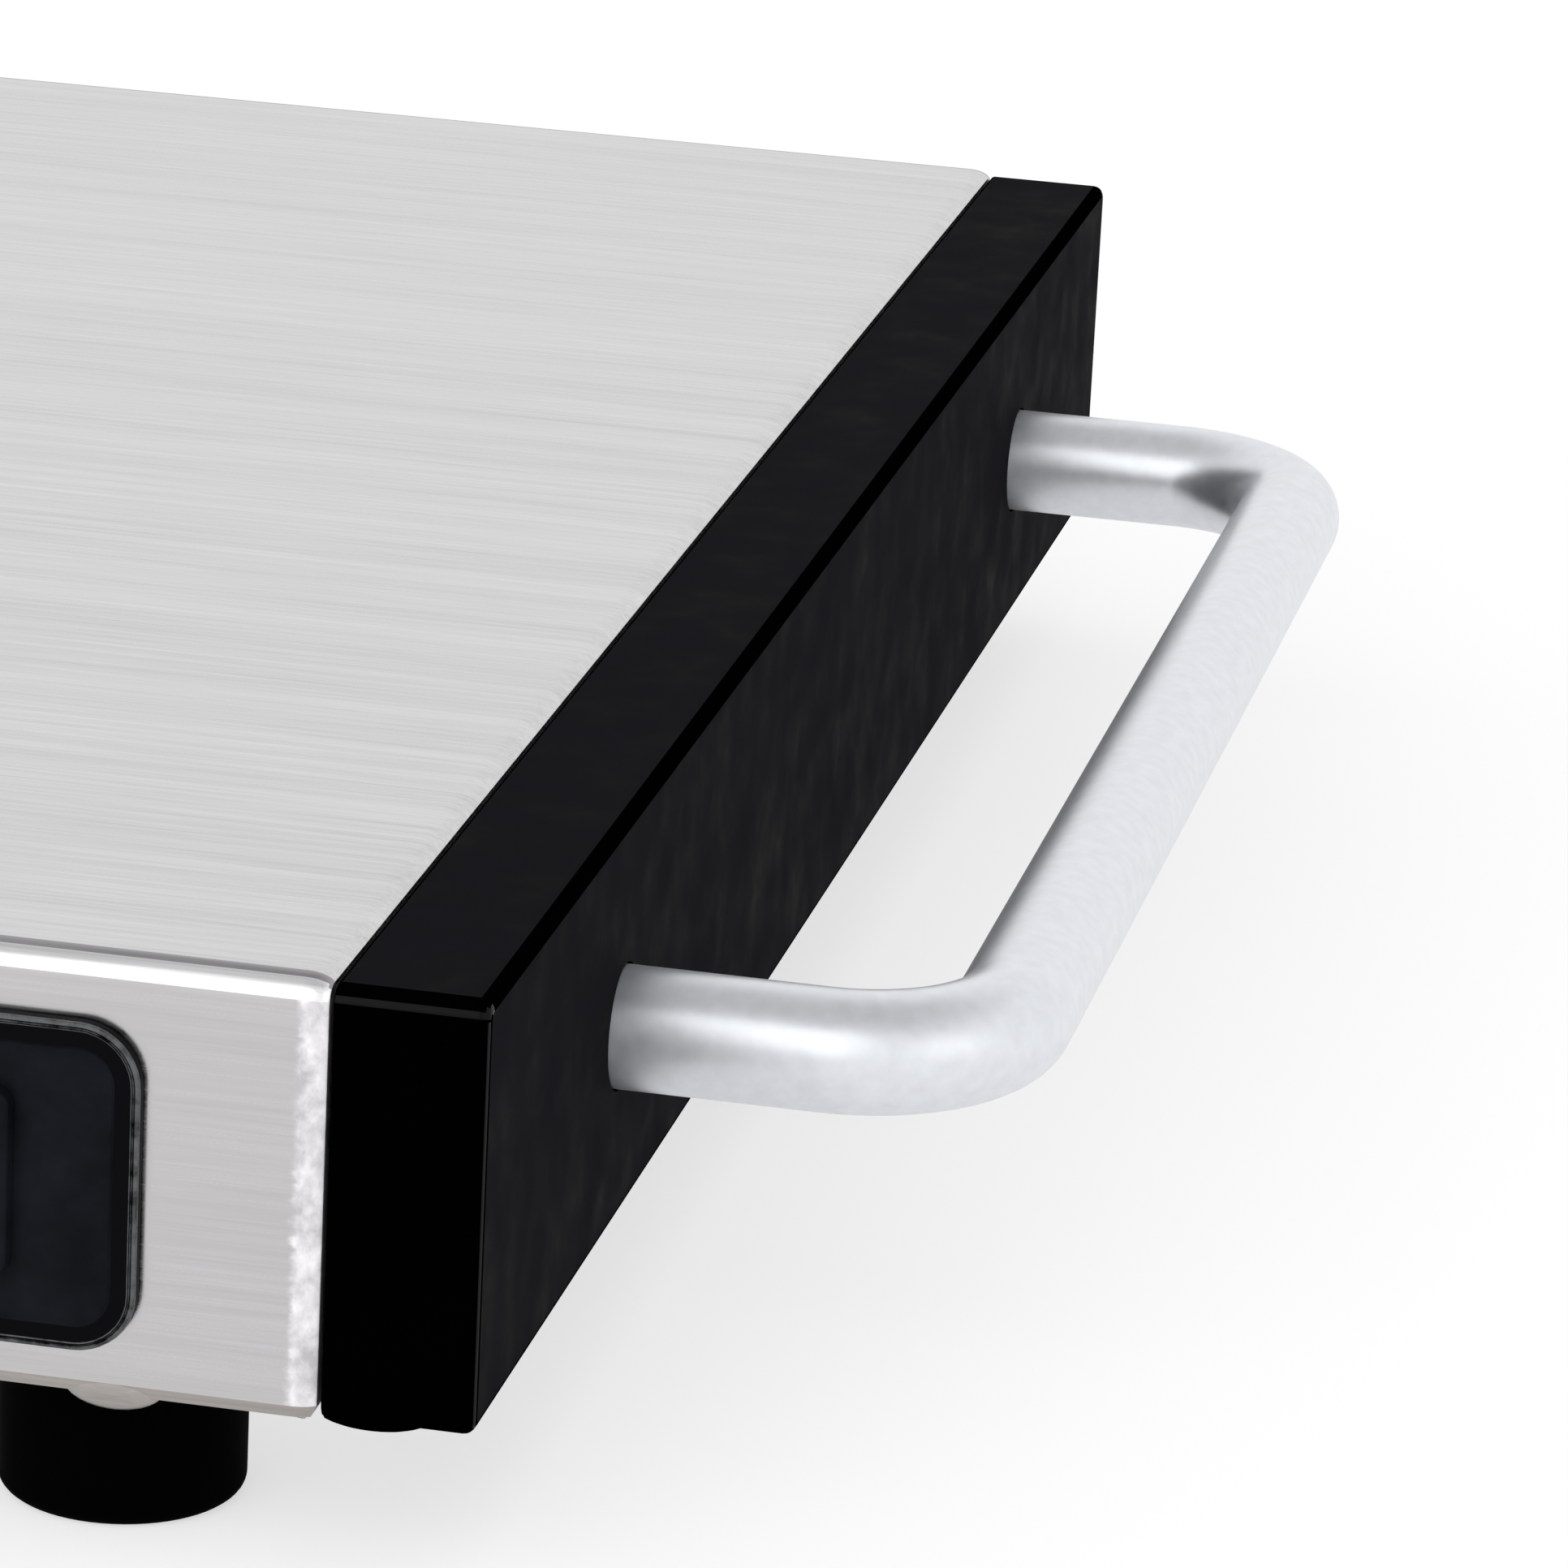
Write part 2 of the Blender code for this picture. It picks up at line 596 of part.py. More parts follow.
def base():
    """Plate that closes the underside, with weld nuts for the feet, and its screws."""
    plate = box((-BASE_LENGTH / 2, -BASE_DEPTH / 2, 0), (BASE_LENGTH / 2, BASE_DEPTH / 2, BASE_THICKNESS))
    bevel_edges(plate, lambda a, b: a.z != b.z, BASE_CORNER)
    part = add_part("base_plate", plate, ZINC_STEEL, (0, 0, BASE_BOTTOM))
    nut_top = BASE_THICKNESS + WELD_NUT_HEIGHT
    nuts = [rod("Z", BASE_THICKNESS / 2, nut_top, WELD_NUT_RADIUS, SCREW_SIDES, (x, y))
            for _, x, y in foot_places()]
    join(part, *nuts)
    top = nut_top + OVERRUN
    holes = [rod("Z", -OVERRUN, top, FOOT_SCREW_RADIUS + SCREW_CLEARANCE, SCREW_SIDES, (x, y))
             for _, x, y in foot_places()]
    small = base_screw_places() + [(EARTH_X, EARTH_Y)]
    holes += [rod("Z", -OVERRUN, top, BASE_SCREW_RADIUS + SCREW_CLEARANCE, SCREW_SIDES, middle)
              for middle in small]
    cut(part, *holes)
    seat = BASE_BOTTOM - SEAT_GAP
    for number, (x, y) in enumerate(base_screw_places(), start=1):
        shape = screw_shape("Z", 0, BODY_LIFT + SHEET + BASE_SCREW_END - seat, BASE_SCREW_RADIUS,
                            BASE_SCREW_HEAD_RADIUS, BASE_SCREW_HEAD_HEIGHT)
        add_part(f"base_screw_{number}", shape, ZINC_STEEL, (x, y, seat))
    shape = screw_shape("Z", 0, BASE_TOP + EARTH_SCREW_END - seat, BASE_SCREW_RADIUS,
                        BASE_SCREW_HEAD_RADIUS, BASE_SCREW_HEAD_HEIGHT)
    add_part("earth_screw", shape, BRASS, (EARTH_X, EARTH_Y, seat))


def feet():
    """Rubber feet, each with a recessed screw into a weld nut."""
    hole = FOOT_SCREW_RADIUS + SCREW_CLEARANCE
    ceiling = FOOT_RECESS_DEPTH
    edge = [(FOOT_EDGE - FOOT_EDGE * math.sin(t), FOOT_RADIUS - FOOT_EDGE + FOOT_EDGE * math.cos(t))
            for t in (0, math.pi / 6, math.pi / 3, math.pi / 2)]
    rim = FOOT_EDGE / 3
    profile = [(FOOT_TOP, hole), (ceiling, hole), (ceiling, FOOT_RECESS_RADIUS), (0, FOOT_RECESS_RADIUS)]
    profile += edge[::-1] + [(FOOT_TOP - rim, FOOT_RADIUS), (FOOT_TOP, FOOT_RADIUS - rim)]
    for name, x, y in foot_places():
        add_part(f"foot_{name}", lathe(profile, "Z", FOOT_SIDES), BLACK_RUBBER, (x, y, 0))
        shape = screw_shape("Z", 0, BASE_TOP + WELD_NUT_HEIGHT - ceiling, FOOT_SCREW_RADIUS,
                            FOOT_SCREW_HEAD_RADIUS, FOOT_SCREW_HEAD_HEIGHT)
        add_part(f"foot_screw_{name}", shape, ZINC_STEEL, (x, y, ceiling - SEAT_GAP))


def end_cap(name, side):
    """Hollow plastic end cap, drawn with its outer face at +X and turned for the left side."""
    half = BODY_DEPTH / 2
    shape = box((0, -half, 0), (CAP_WIDTH, half, BODY_HEIGHT))
    bevel_edges(shape, lambda a, b: a.x > 0 or b.x > 0, CAP_EDGE)
    turn = 0 if side > 0 else math.pi
    part = add_part(f"end_cap_{name}", shape, BLACK_PLASTIC, (side * CAP_INNER_X, 0, BODY_LIFT),
                    (0, 0, turn))
    web = HANDLE_SPAN / 2
    stops = (-half + CAP_WALL, -web - CAP_WEB / 2, -web + CAP_WEB / 2,
             web - CAP_WEB / 2, web + CAP_WEB / 2, half - CAP_WALL)
    depth = CAP_WIDTH - CAP_WALL
    ceiling = BODY_HEIGHT - CAP_WALL
    pockets = [box((-OVERRUN, stops[i], CAP_WALL), (depth, stops[i + 1], ceiling)) for i in (0, 2, 4)]
    screw_hole = HANDLE_SCREW_RADIUS + SCREW_CLEARANCE
    tube_hole = HANDLE_RADIUS + SEAT_GAP
    step = CAP_WIDTH - TUBE_RECESS
    beyond = CAP_WIDTH + OVERRUN
    profile = ((-OVERRUN, 0), (-OVERRUN, screw_hole), (step, screw_hole), (step, tube_hole),
               (beyond, tube_hole), (beyond, 0))
    holes = [lathe(profile, "X", TUBE_SIDES, (end * web, HANDLE_HEIGHT)) for _, end in ENDS]
    cut(part, *pockets)
    cut(part, *holes)


def handle_path():
    """Centre line of one handle from the front leg to the rear one."""
    start = -TUBE_RECESS + SEAT_GAP
    web = HANDLE_SPAN / 2
    turn_x = HANDLE_REACH - HANDLE_BEND
    turn_y = web - HANDLE_BEND
    quarter = math.pi / 2
    path = [(start, -web)]
    path += arc((turn_x, -turn_y), HANDLE_BEND, -quarter, 0, BEND_STEPS)
    path += arc((turn_x, turn_y), HANDLE_BEND, 0, quarter, BEND_STEPS)
    path += [(start, web)]
    return path


def handle(name, side):
    """Bent tube handle with its threaded inserts and clamping screws."""
    turn = 0 if side > 0 else math.pi
    path = handle_path()
    bore = HANDLE_RADIUS - HANDLE_WALL
    tube = tube_along(path, HANDLE_RADIUS, bore, TUBE_SIDES)
    face = side * BODY_LENGTH / 2
    add_part(f"handle_{name}", tube, SATIN_ALUMINIUM, (face, 0, HANDLE_Z), (0, 0, turn))
    start = -TUBE_RECESS + SEAT_GAP
    seat = -(CAP_WIDTH + SEAT_GAP + SHEET + SEAT_GAP)
    thread = HANDLE_SCREW_RADIUS + SCREW_CLEARANCE
    for end_name, end in ENDS:
        at = (face, side * end * HANDLE_SPAN / 2, HANDLE_Z)
        insert = lathe(((start, thread), (start, bore - SEAT_GAP), (start + INSERT_LENGTH, bore - SEAT_GAP),
                        (start + INSERT_LENGTH, thread)), "X", TUBE_SIDES)
        add_part(f"handle_insert_{name}_{end_name}", insert, BRASS, at, (0, 0, turn))
        shape = screw_shape("X", seat, start + HANDLE_SCREW_GRIP, HANDLE_SCREW_RADIUS,
                            HANDLE_SCREW_HEAD_RADIUS, HANDLE_SCREW_HEAD_HEIGHT,
                            HANDLE_WASHER_RADIUS, HANDLE_WASHER_HEIGHT)
        add_part(f"handle_screw_{name}_{end_name}", shape, ZINC_STEEL, at, (0, 0, turn))


def control_panel():
    """Plastic panel with a raised rim round a sunk floor."""
    outline = rounded_rectangle(PANEL_HEIGHT, PANEL_LENGTH, PANEL_CORNER)
    slab = extrude_outline(outline, "Y", -PANEL_DEPTH, 0)
    bevel_edges(slab, lambda a, b: a.y < 0 and b.y < 0, PANEL_EDGE, 2)
    part = add_part("control_panel", slab, PANEL_PLASTIC, (PANEL_X, PANEL_BACK_Y, PANEL_Z))
    inner = rounded_rectangle(PANEL_HEIGHT - PANEL_RIM * 2, PANEL_LENGTH - PANEL_RIM * 2,
                              PANEL_CORNER - PANEL_RIM)
    cut(part, extrude_outline(inner, "Y", -PANEL_DEPTH - OVERRUN, -PANEL_DEPTH + PANEL_RECESS))
    span = (-PANEL_DEPTH - OVERRUN, OVERRUN)
    switch_x = ROCKER_X - PANEL_X
    width = SWITCH_WIDTH / 2 + SWITCH_FIT
    height = SWITCH_HEIGHT / 2 + SWITCH_FIT
    cut(part, box((switch_x - width, span[0], -height), (switch_x + width, span[1], height)),
        rod("Y", span[0], span[1], BUSH_RADIUS + BUSH_FIT, centre=(0, KNOB_X - PANEL_X)),
        rod("Y", span[0], span[1], LENS_STEM_RADIUS + PILOT_FIT, centre=(0, PILOT_X - PANEL_X)))


def rocker_switch():
    """Switch housing with its terminals, and the rocker on its pivot."""
    bezel = box((-BEZEL_WIDTH / 2, BEZEL_FRONT_Y, -BEZEL_HEIGHT / 2),
                (BEZEL_WIDTH / 2, BEZEL_BACK_Y, BEZEL_HEIGHT / 2))
    middle_y = (BEZEL_FRONT_Y + BEZEL_BACK_Y) / 2
    bevel_edges(bezel, lambda a, b: a.y < middle_y or b.y < middle_y, BEZEL_EDGE, 2)
    at = (ROCKER_X, 0, PANEL_Z)
    housing = add_part("rocker_housing", bezel, BLACK_PLASTIC, at)
    join(housing, box((-SWITCH_WIDTH / 2, BEZEL_FRONT_Y + BEZEL_DEPTH / 2, -SWITCH_HEIGHT / 2),
                      (SWITCH_WIDTH / 2, SWITCH_BACK_Y, SWITCH_HEIGHT / 2)))
    floor = BEZEL_FRONT_Y + POCKET_DEPTH
    cut(housing, box((-POCKET_WIDTH / 2, BEZEL_FRONT_Y - OVERRUN, -POCKET_HEIGHT / 2),
                     (POCKET_WIDTH / 2, floor, POCKET_HEIGHT / 2)))
    stub = POCKET_WIDTH / 2 + PIVOT_STUB
    slots = []
    for number, up in ((1, -1), (2, 1)):
        middle = up * BLADE_SPREAD / 2
        slots.append(box((-BLADE_WIDTH / 2 - SWITCH_FIT, SWITCH_BACK_Y - BLADE_SEAT,
                          middle - BLADE_THICKNESS / 2 - SWITCH_FIT),
                         (BLADE_WIDTH / 2 + SWITCH_FIT, SWITCH_BACK_Y + OVERRUN,
                          middle + BLADE_THICKNESS / 2 + SWITCH_FIT)))
        blade = box((-BLADE_WIDTH / 2, SWITCH_BACK_Y - BLADE_SEAT + SEAT_GAP, -BLADE_THICKNESS / 2),
                    (BLADE_WIDTH / 2, SWITCH_BACK_Y + BLADE_TAIL, BLADE_THICKNESS / 2))
        add_part(f"rocker_terminal_{number}", blade, BRASS, (ROCKER_X, 0, PANEL_Z + middle))
    reach = stub + SEAT_GAP
    cut(housing, rod("X", -reach, reach, PIVOT_RADIUS + PIVOT_FIT, TUBE_SIDES, (PIVOT_Y, 0)), *slots)
    half = POCKET_WIDTH / 2 - ROCKER_FIT
    shoulder = ROCKER_BODY - ROCKER_CROWN
    lower = [(-ROCKER_CROWN, -ROCKER_HALF), (shoulder, -ROCKER_HALF), (ROCKER_BODY, -ROCKER_STEM_HALF),
             (ROCKER_STEM, -ROCKER_STEM_HALF)]
    upper = [(y, -z) for y, z in reversed(lower)]
    outline = [(-ROCKER_CROWN + ROCKER_DIP, 0)] + lower + upper
    rocker = add_part("rocker_button", extrude_outline(outline, "X", -half, half), BLACK_PLASTIC,
                      (ROCKER_X, PIVOT_Y, PANEL_Z), (ROCKER_TILT, 0, 0))
    join(rocker, rod("X", -stub, stub, PIVOT_RADIUS, TUBE_SIDES))


def thermostat():
    """Heat control: body with its threaded bush, nut, shaft and knob."""
    at = (KNOB_X, 0, PANEL_Z)
    block = box((-THERMO_WIDTH / 2, THERMO_FRONT_Y, -THERMO_HEIGHT / 2),
                (THERMO_WIDTH / 2, THERMO_BACK_Y, THERMO_HEIGHT / 2))
    body = add_part("thermostat_body", block, ZINC_STEEL, at)
    join(body, rod("Y", BUSH_FRONT_Y, THERMO_FRONT_Y + SHEET, BUSH_RADIUS))
    cut(body, rod("Y", BUSH_FRONT_Y - OVERRUN, THERMO_FRONT_Y + SHAFT_SEAT, SHAFT_RADIUS + SHAFT_FIT))
    nut_front = PANEL_FLOOR_Y - SEAT_GAP - NUT_HEIGHT
    nut_back = nut_front + NUT_HEIGHT
    hexagon = arc((0, 0), NUT_RADIUS, 0, math.tau, 6)[:-1]
    nut = add_part("thermostat_nut", extrude_outline(hexagon, "Y", nut_front, nut_back), BRASS, at)
    cut(nut, rod("Y", nut_front - OVERRUN, nut_back + OVERRUN, BUSH_RADIUS + SCREW_CLEARANCE))
    add_part("thermostat_shaft", rod("Y", SHAFT_FRONT_Y, SHAFT_BACK_Y, SHAFT_RADIUS), ZINC_STEEL, at)
    socket = KNOB_HOLLOW_DEPTH + KNOB_SOCKET_DEPTH
    grip = -KNOB_DEPTH
    bore = SHAFT_RADIUS + SHAFT_FIT
    profile = [(-socket, 0), (-socket, bore), (-KNOB_HOLLOW_DEPTH, bore),
               (-KNOB_HOLLOW_DEPTH, KNOB_HOLLOW_RADIUS), (0, KNOB_HOLLOW_RADIUS), (0, KNOB_RADIUS),
               (-KNOB_SKIRT, KNOB_RADIUS), (-KNOB_SKIRT - KNOB_EDGE, KNOB_GRIP_RADIUS),
               (grip + KNOB_EDGE, KNOB_GRIP_RADIUS - KNOB_EDGE / 2),
               (grip, KNOB_GRIP_RADIUS - KNOB_EDGE * 2), (grip, 0)]
    knob = add_part("thermostat_knob", lathe(profile, "Y", ROUND_SIDES), BLACK_PLASTIC,
                    (KNOB_X, KNOB_BACK_Y, PANEL_Z), (0, -KNOB_HALF_TURN, 0))
    join(knob, box((-POINTER_WIDTH / 2, grip - POINTER_HEIGHT, 0),
                   (POINTER_WIDTH / 2, grip + KNOB_EDGE, KNOB_GRIP_RADIUS - KNOB_EDGE * 2)))


def pilot_lamp():
    """Amber lens on the panel and its holder behind the apron."""
    at = (PILOT_X, 0, PANEL_Z)
    back = PANEL_FLOOR_Y - SEAT_GAP
    front = back - LENS_FLANGE
    stem_end = INNER_FRONT_Y + LENS_STEM_REACH
    dome = [(front - LENS_DOME * math.sin(t), LENS_RADIUS * math.cos(t))
            for t in (0, math.pi / 6, math.pi / 3)]
    profile = [(stem_end, 0), (stem_end, LENS_STEM_RADIUS), (back, LENS_STEM_RADIUS),
               (back, LENS_FLANGE_RADIUS), (front, LENS_FLANGE_RADIUS)] + dome + [(front - LENS_DOME, 0)]
    add_part("pilot_lens", lathe(profile, "Y", TUBE_SIDES), AMBER_LENS, at)
    seat = INNER_FRONT_Y + SEAT_GAP
    inner = LENS_STEM_RADIUS + PILOT_FIT
    rear = seat + PILOT_HOLDER_DEPTH
    profile = ((seat, inner), (seat, PILOT_HOLDER_RADIUS), (rear, PILOT_HOLDER_RADIUS), (rear, inner))
    add_part("pilot_holder", lathe(profile, "Y", TUBE_SIDES), BLACK_PLASTIC, at)


def element_path():
    """Serpentine of straight runs joined by half turns, both ends at the right."""
    half = ELEMENT_PITCH / 2
    first = -half * (ELEMENT_RUNS - 1)
    path = [(ELEMENT_END_X, first)]
    for run in range(ELEMENT_RUNS - 1):
        side = -1 if run % 2 == 0 else 1
        middle = first + ELEMENT_PITCH * run + half
        start = -math.pi / 2
        sweep = arc((0, middle), half, start, start + math.pi, BEND_STEPS + 1)
        path += [(side * (ELEMENT_TURN_X + x), y) for x, y in sweep]
    last = first + ELEMENT_PITCH * (ELEMENT_RUNS - 1)
    path += [(ELEMENT_END_X, last)]
    return path


def heating_stack():
    """Spreader plate, tubular element with its clips, insulation and the plate that holds them up."""
    spreader = box((-SPREADER_LENGTH / 2, -SPREADER_DEPTH / 2, 0),
                   (SPREADER_LENGTH / 2, SPREADER_DEPTH / 2, SPREADER_THICKNESS))
    bevel_edges(spreader, lambda a, b: a.z != b.z, BASE_CORNER)
    add_part("heat_spreader", spreader, SATIN_ALUMINIUM, (0, 0, SPREADER_BOTTOM))
    path = element_path()
    element = add_part("heating_element", tube_along(path, ELEMENT_RADIUS, 0, WIRE_SIDES), ELEMENT_SHEATH,
                       (0, 0, ELEMENT_Z))
    pin_span = (ELEMENT_END_X - ELEMENT_PIN_LENGTH, ELEMENT_END_X + ELEMENT_PIN_LENGTH)
    join(element, *[rod("X", pin_span[0], pin_span[1], ELEMENT_PIN_RADIUS, WIRE_SIDES, (y, 0))
                    for y in (path[0][1], path[-1][1])])
    first = -ELEMENT_PITCH * (ELEMENT_RUNS - 1) / 2
    for number in range(1, ELEMENT_RUNS + 1):
        side = 1 if number % 2 else -1
        clip = extrude_outline(clip_outline(), "X", -CLIP_WIDTH / 2, CLIP_WIDTH / 2)
        add_part(f"element_clip_{number}", clip, ZINC_STEEL,
                 (side * (ELEMENT_TURN_X - CLIP_INSET), first + ELEMENT_PITCH * (number - 1), ELEMENT_Z))
    pad = box((-PAD_LENGTH / 2, -PAD_DEPTH / 2, 0), (PAD_LENGTH / 2, PAD_DEPTH / 2, PAD_THICKNESS))
    add_part("insulation_pad", pad, INSULATION, (0, 0, PAD_BOTTOM))
    height = RETAINER_TOP - RETAINER_FOOT
    half = PAD_LENGTH / 2
    wall = RETAINER_THICKNESS
    outline = [(-half, 0), (-half, height), (half, height), (half, 0), (half - wall, 0),
               (half - wall, height - wall), (-half + wall, height - wall), (-half + wall, 0)]
    channel = [(v, u) for u, v in outline]
    retainer = add_part("retainer_plate", extrude_outline(channel, "Y", -PAD_DEPTH / 2, PAD_DEPTH / 2),
                        ZINC_STEEL, (0, 0, RETAINER_FOOT))
    middle = PAD_DEPTH / 2 - RETAINER_LEG
    window_top = height - wall * 2
    cut(retainer, box((-half - OVERRUN, -middle, -OVERRUN), (half + OVERRUN, middle, window_top)))


def clip_outline():
    """Strap that passes under the element, in the (Y, Z) plane round the element's centre."""
    inner = ELEMENT_RADIUS + SEAT_GAP
    outer = inner + CLIP_THICKNESS
    top = ELEMENT_RADIUS
    foot = outer + CLIP_FOOT
    points = arc((0, 0), outer, math.pi, math.tau, 8)
    points += [(outer, top - CLIP_THICKNESS), (foot, top - CLIP_THICKNESS), (foot, top), (inner, top)]
    points += arc((0, 0), inner, math.tau, math.pi, 8)
    points += [(-inner, top), (-foot, top), (-foot, top - CLIP_THICKNESS), (-outer, top - CLIP_THICKNESS)]
    return points


def thermal_cutout():
    """Disc cut-out hung under the spreader, with its two blades."""
    flange = box((-CUTOUT_FLANGE_LENGTH / 2, -CUTOUT_RADIUS, -CUTOUT_FLANGE_THICKNESS),
                 (CUTOUT_FLANGE_LENGTH / 2, CUTOUT_RADIUS, 0))
    part = add_part("thermal_cutout", flange, ZINC_STEEL, (CUTOUT_X, CUTOUT_Y, CUTOUT_TOP))
    disc_radius = CUTOUT_RADIUS - CUTOUT_RIM
    join(part, rod("Z", -CUTOUT_DEPTH, -CUTOUT_FLANGE_THICKNESS / 2, disc_radius, TUBE_SIDES))
    blades = []
    blade_low = -CUTOUT_DEPTH - CUTOUT_BLADE_LENGTH
    blade_high = -CUTOUT_DEPTH + BLADE_THICKNESS
    for side in (-1, 1):
        middle = side * CUTOUT_BLADE_SPREAD / 2
        blades.append(box((middle - BLADE_THICKNESS / 2, -BLADE_WIDTH / 2, blade_low),
                          (middle + BLADE_THICKNESS / 2, BLADE_WIDTH / 2, blade_high)))
    join(part, *blades)


def inlet_cavity():
    """Outline of the plug's space: a rectangle with its two upper corners cut off, as (up, across)."""
    half = INLET_CAVITY_WIDTH / 2
    up = INLET_CAVITY_HEIGHT / 2
    points = [(-half, -up), (half, -up), (half, up - INLET_CHAMFER), (half - INLET_CHAMFER, up),
              (-half + INLET_CHAMFER, up), (-half, up - INLET_CHAMFER)]
    return [(v, u) for u, v in points]


def power_inlet():
    """Mains inlet in the rear apron with its three pins."""
    at = (INLET_X, 0, INLET_Z)
    outline = rounded_rectangle(INLET_FLANGE_HEIGHT, INLET_FLANGE_WIDTH, INLET_FLANGE_CORNER)
    plate = extrude_outline(outline, "Y", INLET_FLANGE_Y, INLET_MOUTH_Y)
    part = add_part("power_inlet", plate, BLACK_PLASTIC, at)
    middle_y = (INLET_FLANGE_Y + INLET_MOUTH_Y) / 2
    join(part, box((-INLET_BODY_WIDTH / 2, INLET_INNER_Y, -INLET_BODY_HEIGHT / 2),
                   (INLET_BODY_WIDTH / 2, middle_y, INLET_BODY_HEIGHT / 2)))
    floor = INLET_INNER_Y + INLET_BACK
    cut(part, extrude_outline(inlet_cavity(), "Y", floor, INLET_MOUTH_Y + OVERRUN))
    places = (("live", -PIN_SPREAD / 2, 0), ("neutral", PIN_SPREAD / 2, 0), ("earth", 0, PIN_RAISE))
    slots = []
    slot_half = (PIN_WIDTH / 2 + PIN_FIT, PIN_HEIGHT / 2 + PIN_FIT)
    for name, x, up in places:
        slots.append(box((x - slot_half[0], INLET_INNER_Y - OVERRUN, up - slot_half[1]),
                         (x + slot_half[0], floor + OVERRUN, up + slot_half[1])))
        pin = box((-PIN_WIDTH / 2, INLET_INNER_Y - PIN_TAIL, -PIN_HEIGHT / 2),
                  (PIN_WIDTH / 2, INLET_MOUTH_Y - PIN_RECESS, PIN_HEIGHT / 2))
        bevel_edges(pin, lambda a, b: a.y > 0 and b.y > 0, PIN_WIDTH / 4, 1)
        add_part(f"inlet_pin_{name}", pin, BRASS, (INLET_X + x, 0, INLET_Z + up))
    cut(part, *slots)


def wire(name, material, points):
    """One insulated wire along hand-chosen points."""
    curve = bpy.data.curves.new(name, "CURVE")
    curve.dimensions = "3D"
    curve.resolution_u = 3
    curve.bevel_depth = WIRE_RADIUS
    curve.bevel_resolution = 1
    curve.use_fill_caps = True
    spline = curve.splines.new("BEZIER")
    spline.bezier_points.add(len(points) - 1)
    for knot, point in zip(spline.bezier_points, points):
        knot.co = point
        knot.handle_left_type = "AUTO"
        knot.handle_right_type = "AUTO"
    curve.materials.append(material)
    part = bpy.data.objects.new(name, curve)
    part.parent = CARRIER
    TRAY.objects.link(part)


def wiring():
    """Mains wires from inlet to switch, thermostat, cut-out and element, and the earth wire."""
    tail = INLET_INNER_Y - PIN_TAIL - SEAT_GAP
    low = (BASE_TOP + RETAINER_TOP) / 2
    live_x = INLET_X - PIN_SPREAD / 2
    blade_end = SWITCH_BACK_Y + BLADE_TAIL + SEAT_GAP
    lower = PANEL_Z - BLADE_SPREAD / 2
    upper = PANEL_Z + BLADE_SPREAD / 2
    bend = INLET_REACH
    wire("wire_inlet_to_switch", WIRE_BROWN,
         [(live_x, tail, INLET_Z), (live_x, tail - bend / 3, INLET_Z),
          (live_x, tail - bend * 2, low), (ROCKER_X, -PAD_DEPTH / 3, low - bend / 4),
          (ROCKER_X, blade_end + bend / 2, lower), (ROCKER_X, blade_end, lower)])
    thermo_back = THERMO_BACK_Y + SEAT_GAP
    spread = THERMO_WIDTH / 4
    wire("wire_switch_to_thermostat", WIRE_BROWN,
         [(ROCKER_X, blade_end, upper), (ROCKER_X, blade_end + bend / 4, upper),
          ((ROCKER_X + KNOB_X) / 2, thermo_back + bend, upper),
          (KNOB_X + spread, thermo_back + bend / 3, upper), (KNOB_X + spread, thermo_back, upper)])
    blade_bottom = CUTOUT_TOP - CUTOUT_DEPTH - CUTOUT_BLADE_LENGTH - SEAT_GAP
    near = CUTOUT_X + CUTOUT_BLADE_SPREAD / 2
    far = CUTOUT_X - CUTOUT_BLADE_SPREAD / 2
    wire("wire_thermostat_to_cutout", WIRE_BROWN,
         [(KNOB_X - spread, thermo_back, PANEL_Z), (KNOB_X - spread, thermo_back + bend / 3, PANEL_Z),
          (near + bend / 2, CUTOUT_Y - bend / 4, PANEL_Z - bend / 8),
          (near, CUTOUT_Y, blade_bottom - bend / 4), (near, CUTOUT_Y, blade_bottom)])
    element_y = ELEMENT_PITCH * (ELEMENT_RUNS - 1) / 2
    element_x = ELEMENT_END_X + ELEMENT_PIN_LENGTH + SEAT_GAP
    wire("wire_cutout_to_element", WIRE_BROWN,
         [(far, CUTOUT_Y, blade_bottom), (far, CUTOUT_Y, blade_bottom - bend / 3),
          (near + bend, CUTOUT_Y, low), (PAD_LENGTH / 2, CUTOUT_Y - bend / 6, low + bend / 8),
          (element_x + bend / 3, -element_y - bend, ELEMENT_Z - bend / 2),
          (element_x + bend / 4, -element_y, ELEMENT_Z), (element_x, -element_y, ELEMENT_Z)])
    neutral_x = INLET_X + PIN_SPREAD / 2
    wire("wire_inlet_to_element", WIRE_BLUE,
         [(neutral_x, tail, INLET_Z), (neutral_x, tail - bend / 4, INLET_Z),
          (PAD_LENGTH / 2, tail - bend / 3, INLET_Z),
          (element_x, element_y + bend * 2, INLET_Z + bend / 4),
          (element_x + bend / 3, element_y + bend / 4, ELEMENT_Z - bend / 4),
          (element_x + bend / 4, element_y, ELEMENT_Z), (element_x, element_y, ELEMENT_Z)])
    stud = EARTH_X + BASE_SCREW_RADIUS + SEAT_GAP
    stud_z = BASE_TOP + EARTH_SCREW_END / 2
    wire("wire_earth", WIRE_EARTH,
         [(INLET_X, tail, INLET_Z + PIN_RAISE), (INLET_X, tail - bend / 5, INLET_Z + PIN_RAISE),
          ((INLET_X + EARTH_X) / 2, EARTH_Y, INLET_Z - bend / 8), (stud + bend / 3, EARTH_Y, stud_z),
          (stud, EARTH_Y, stud_z)])


cover()
base()
feet()
for side_word, side_sign in SIDES:
    end_cap(side_word, side_sign)
    handle(side_word, side_sign)
control_panel()
rocker_switch()
thermostat()
pilot_lamp()
heating_stack()
thermal_cutout()
power_inlet()
wiring()
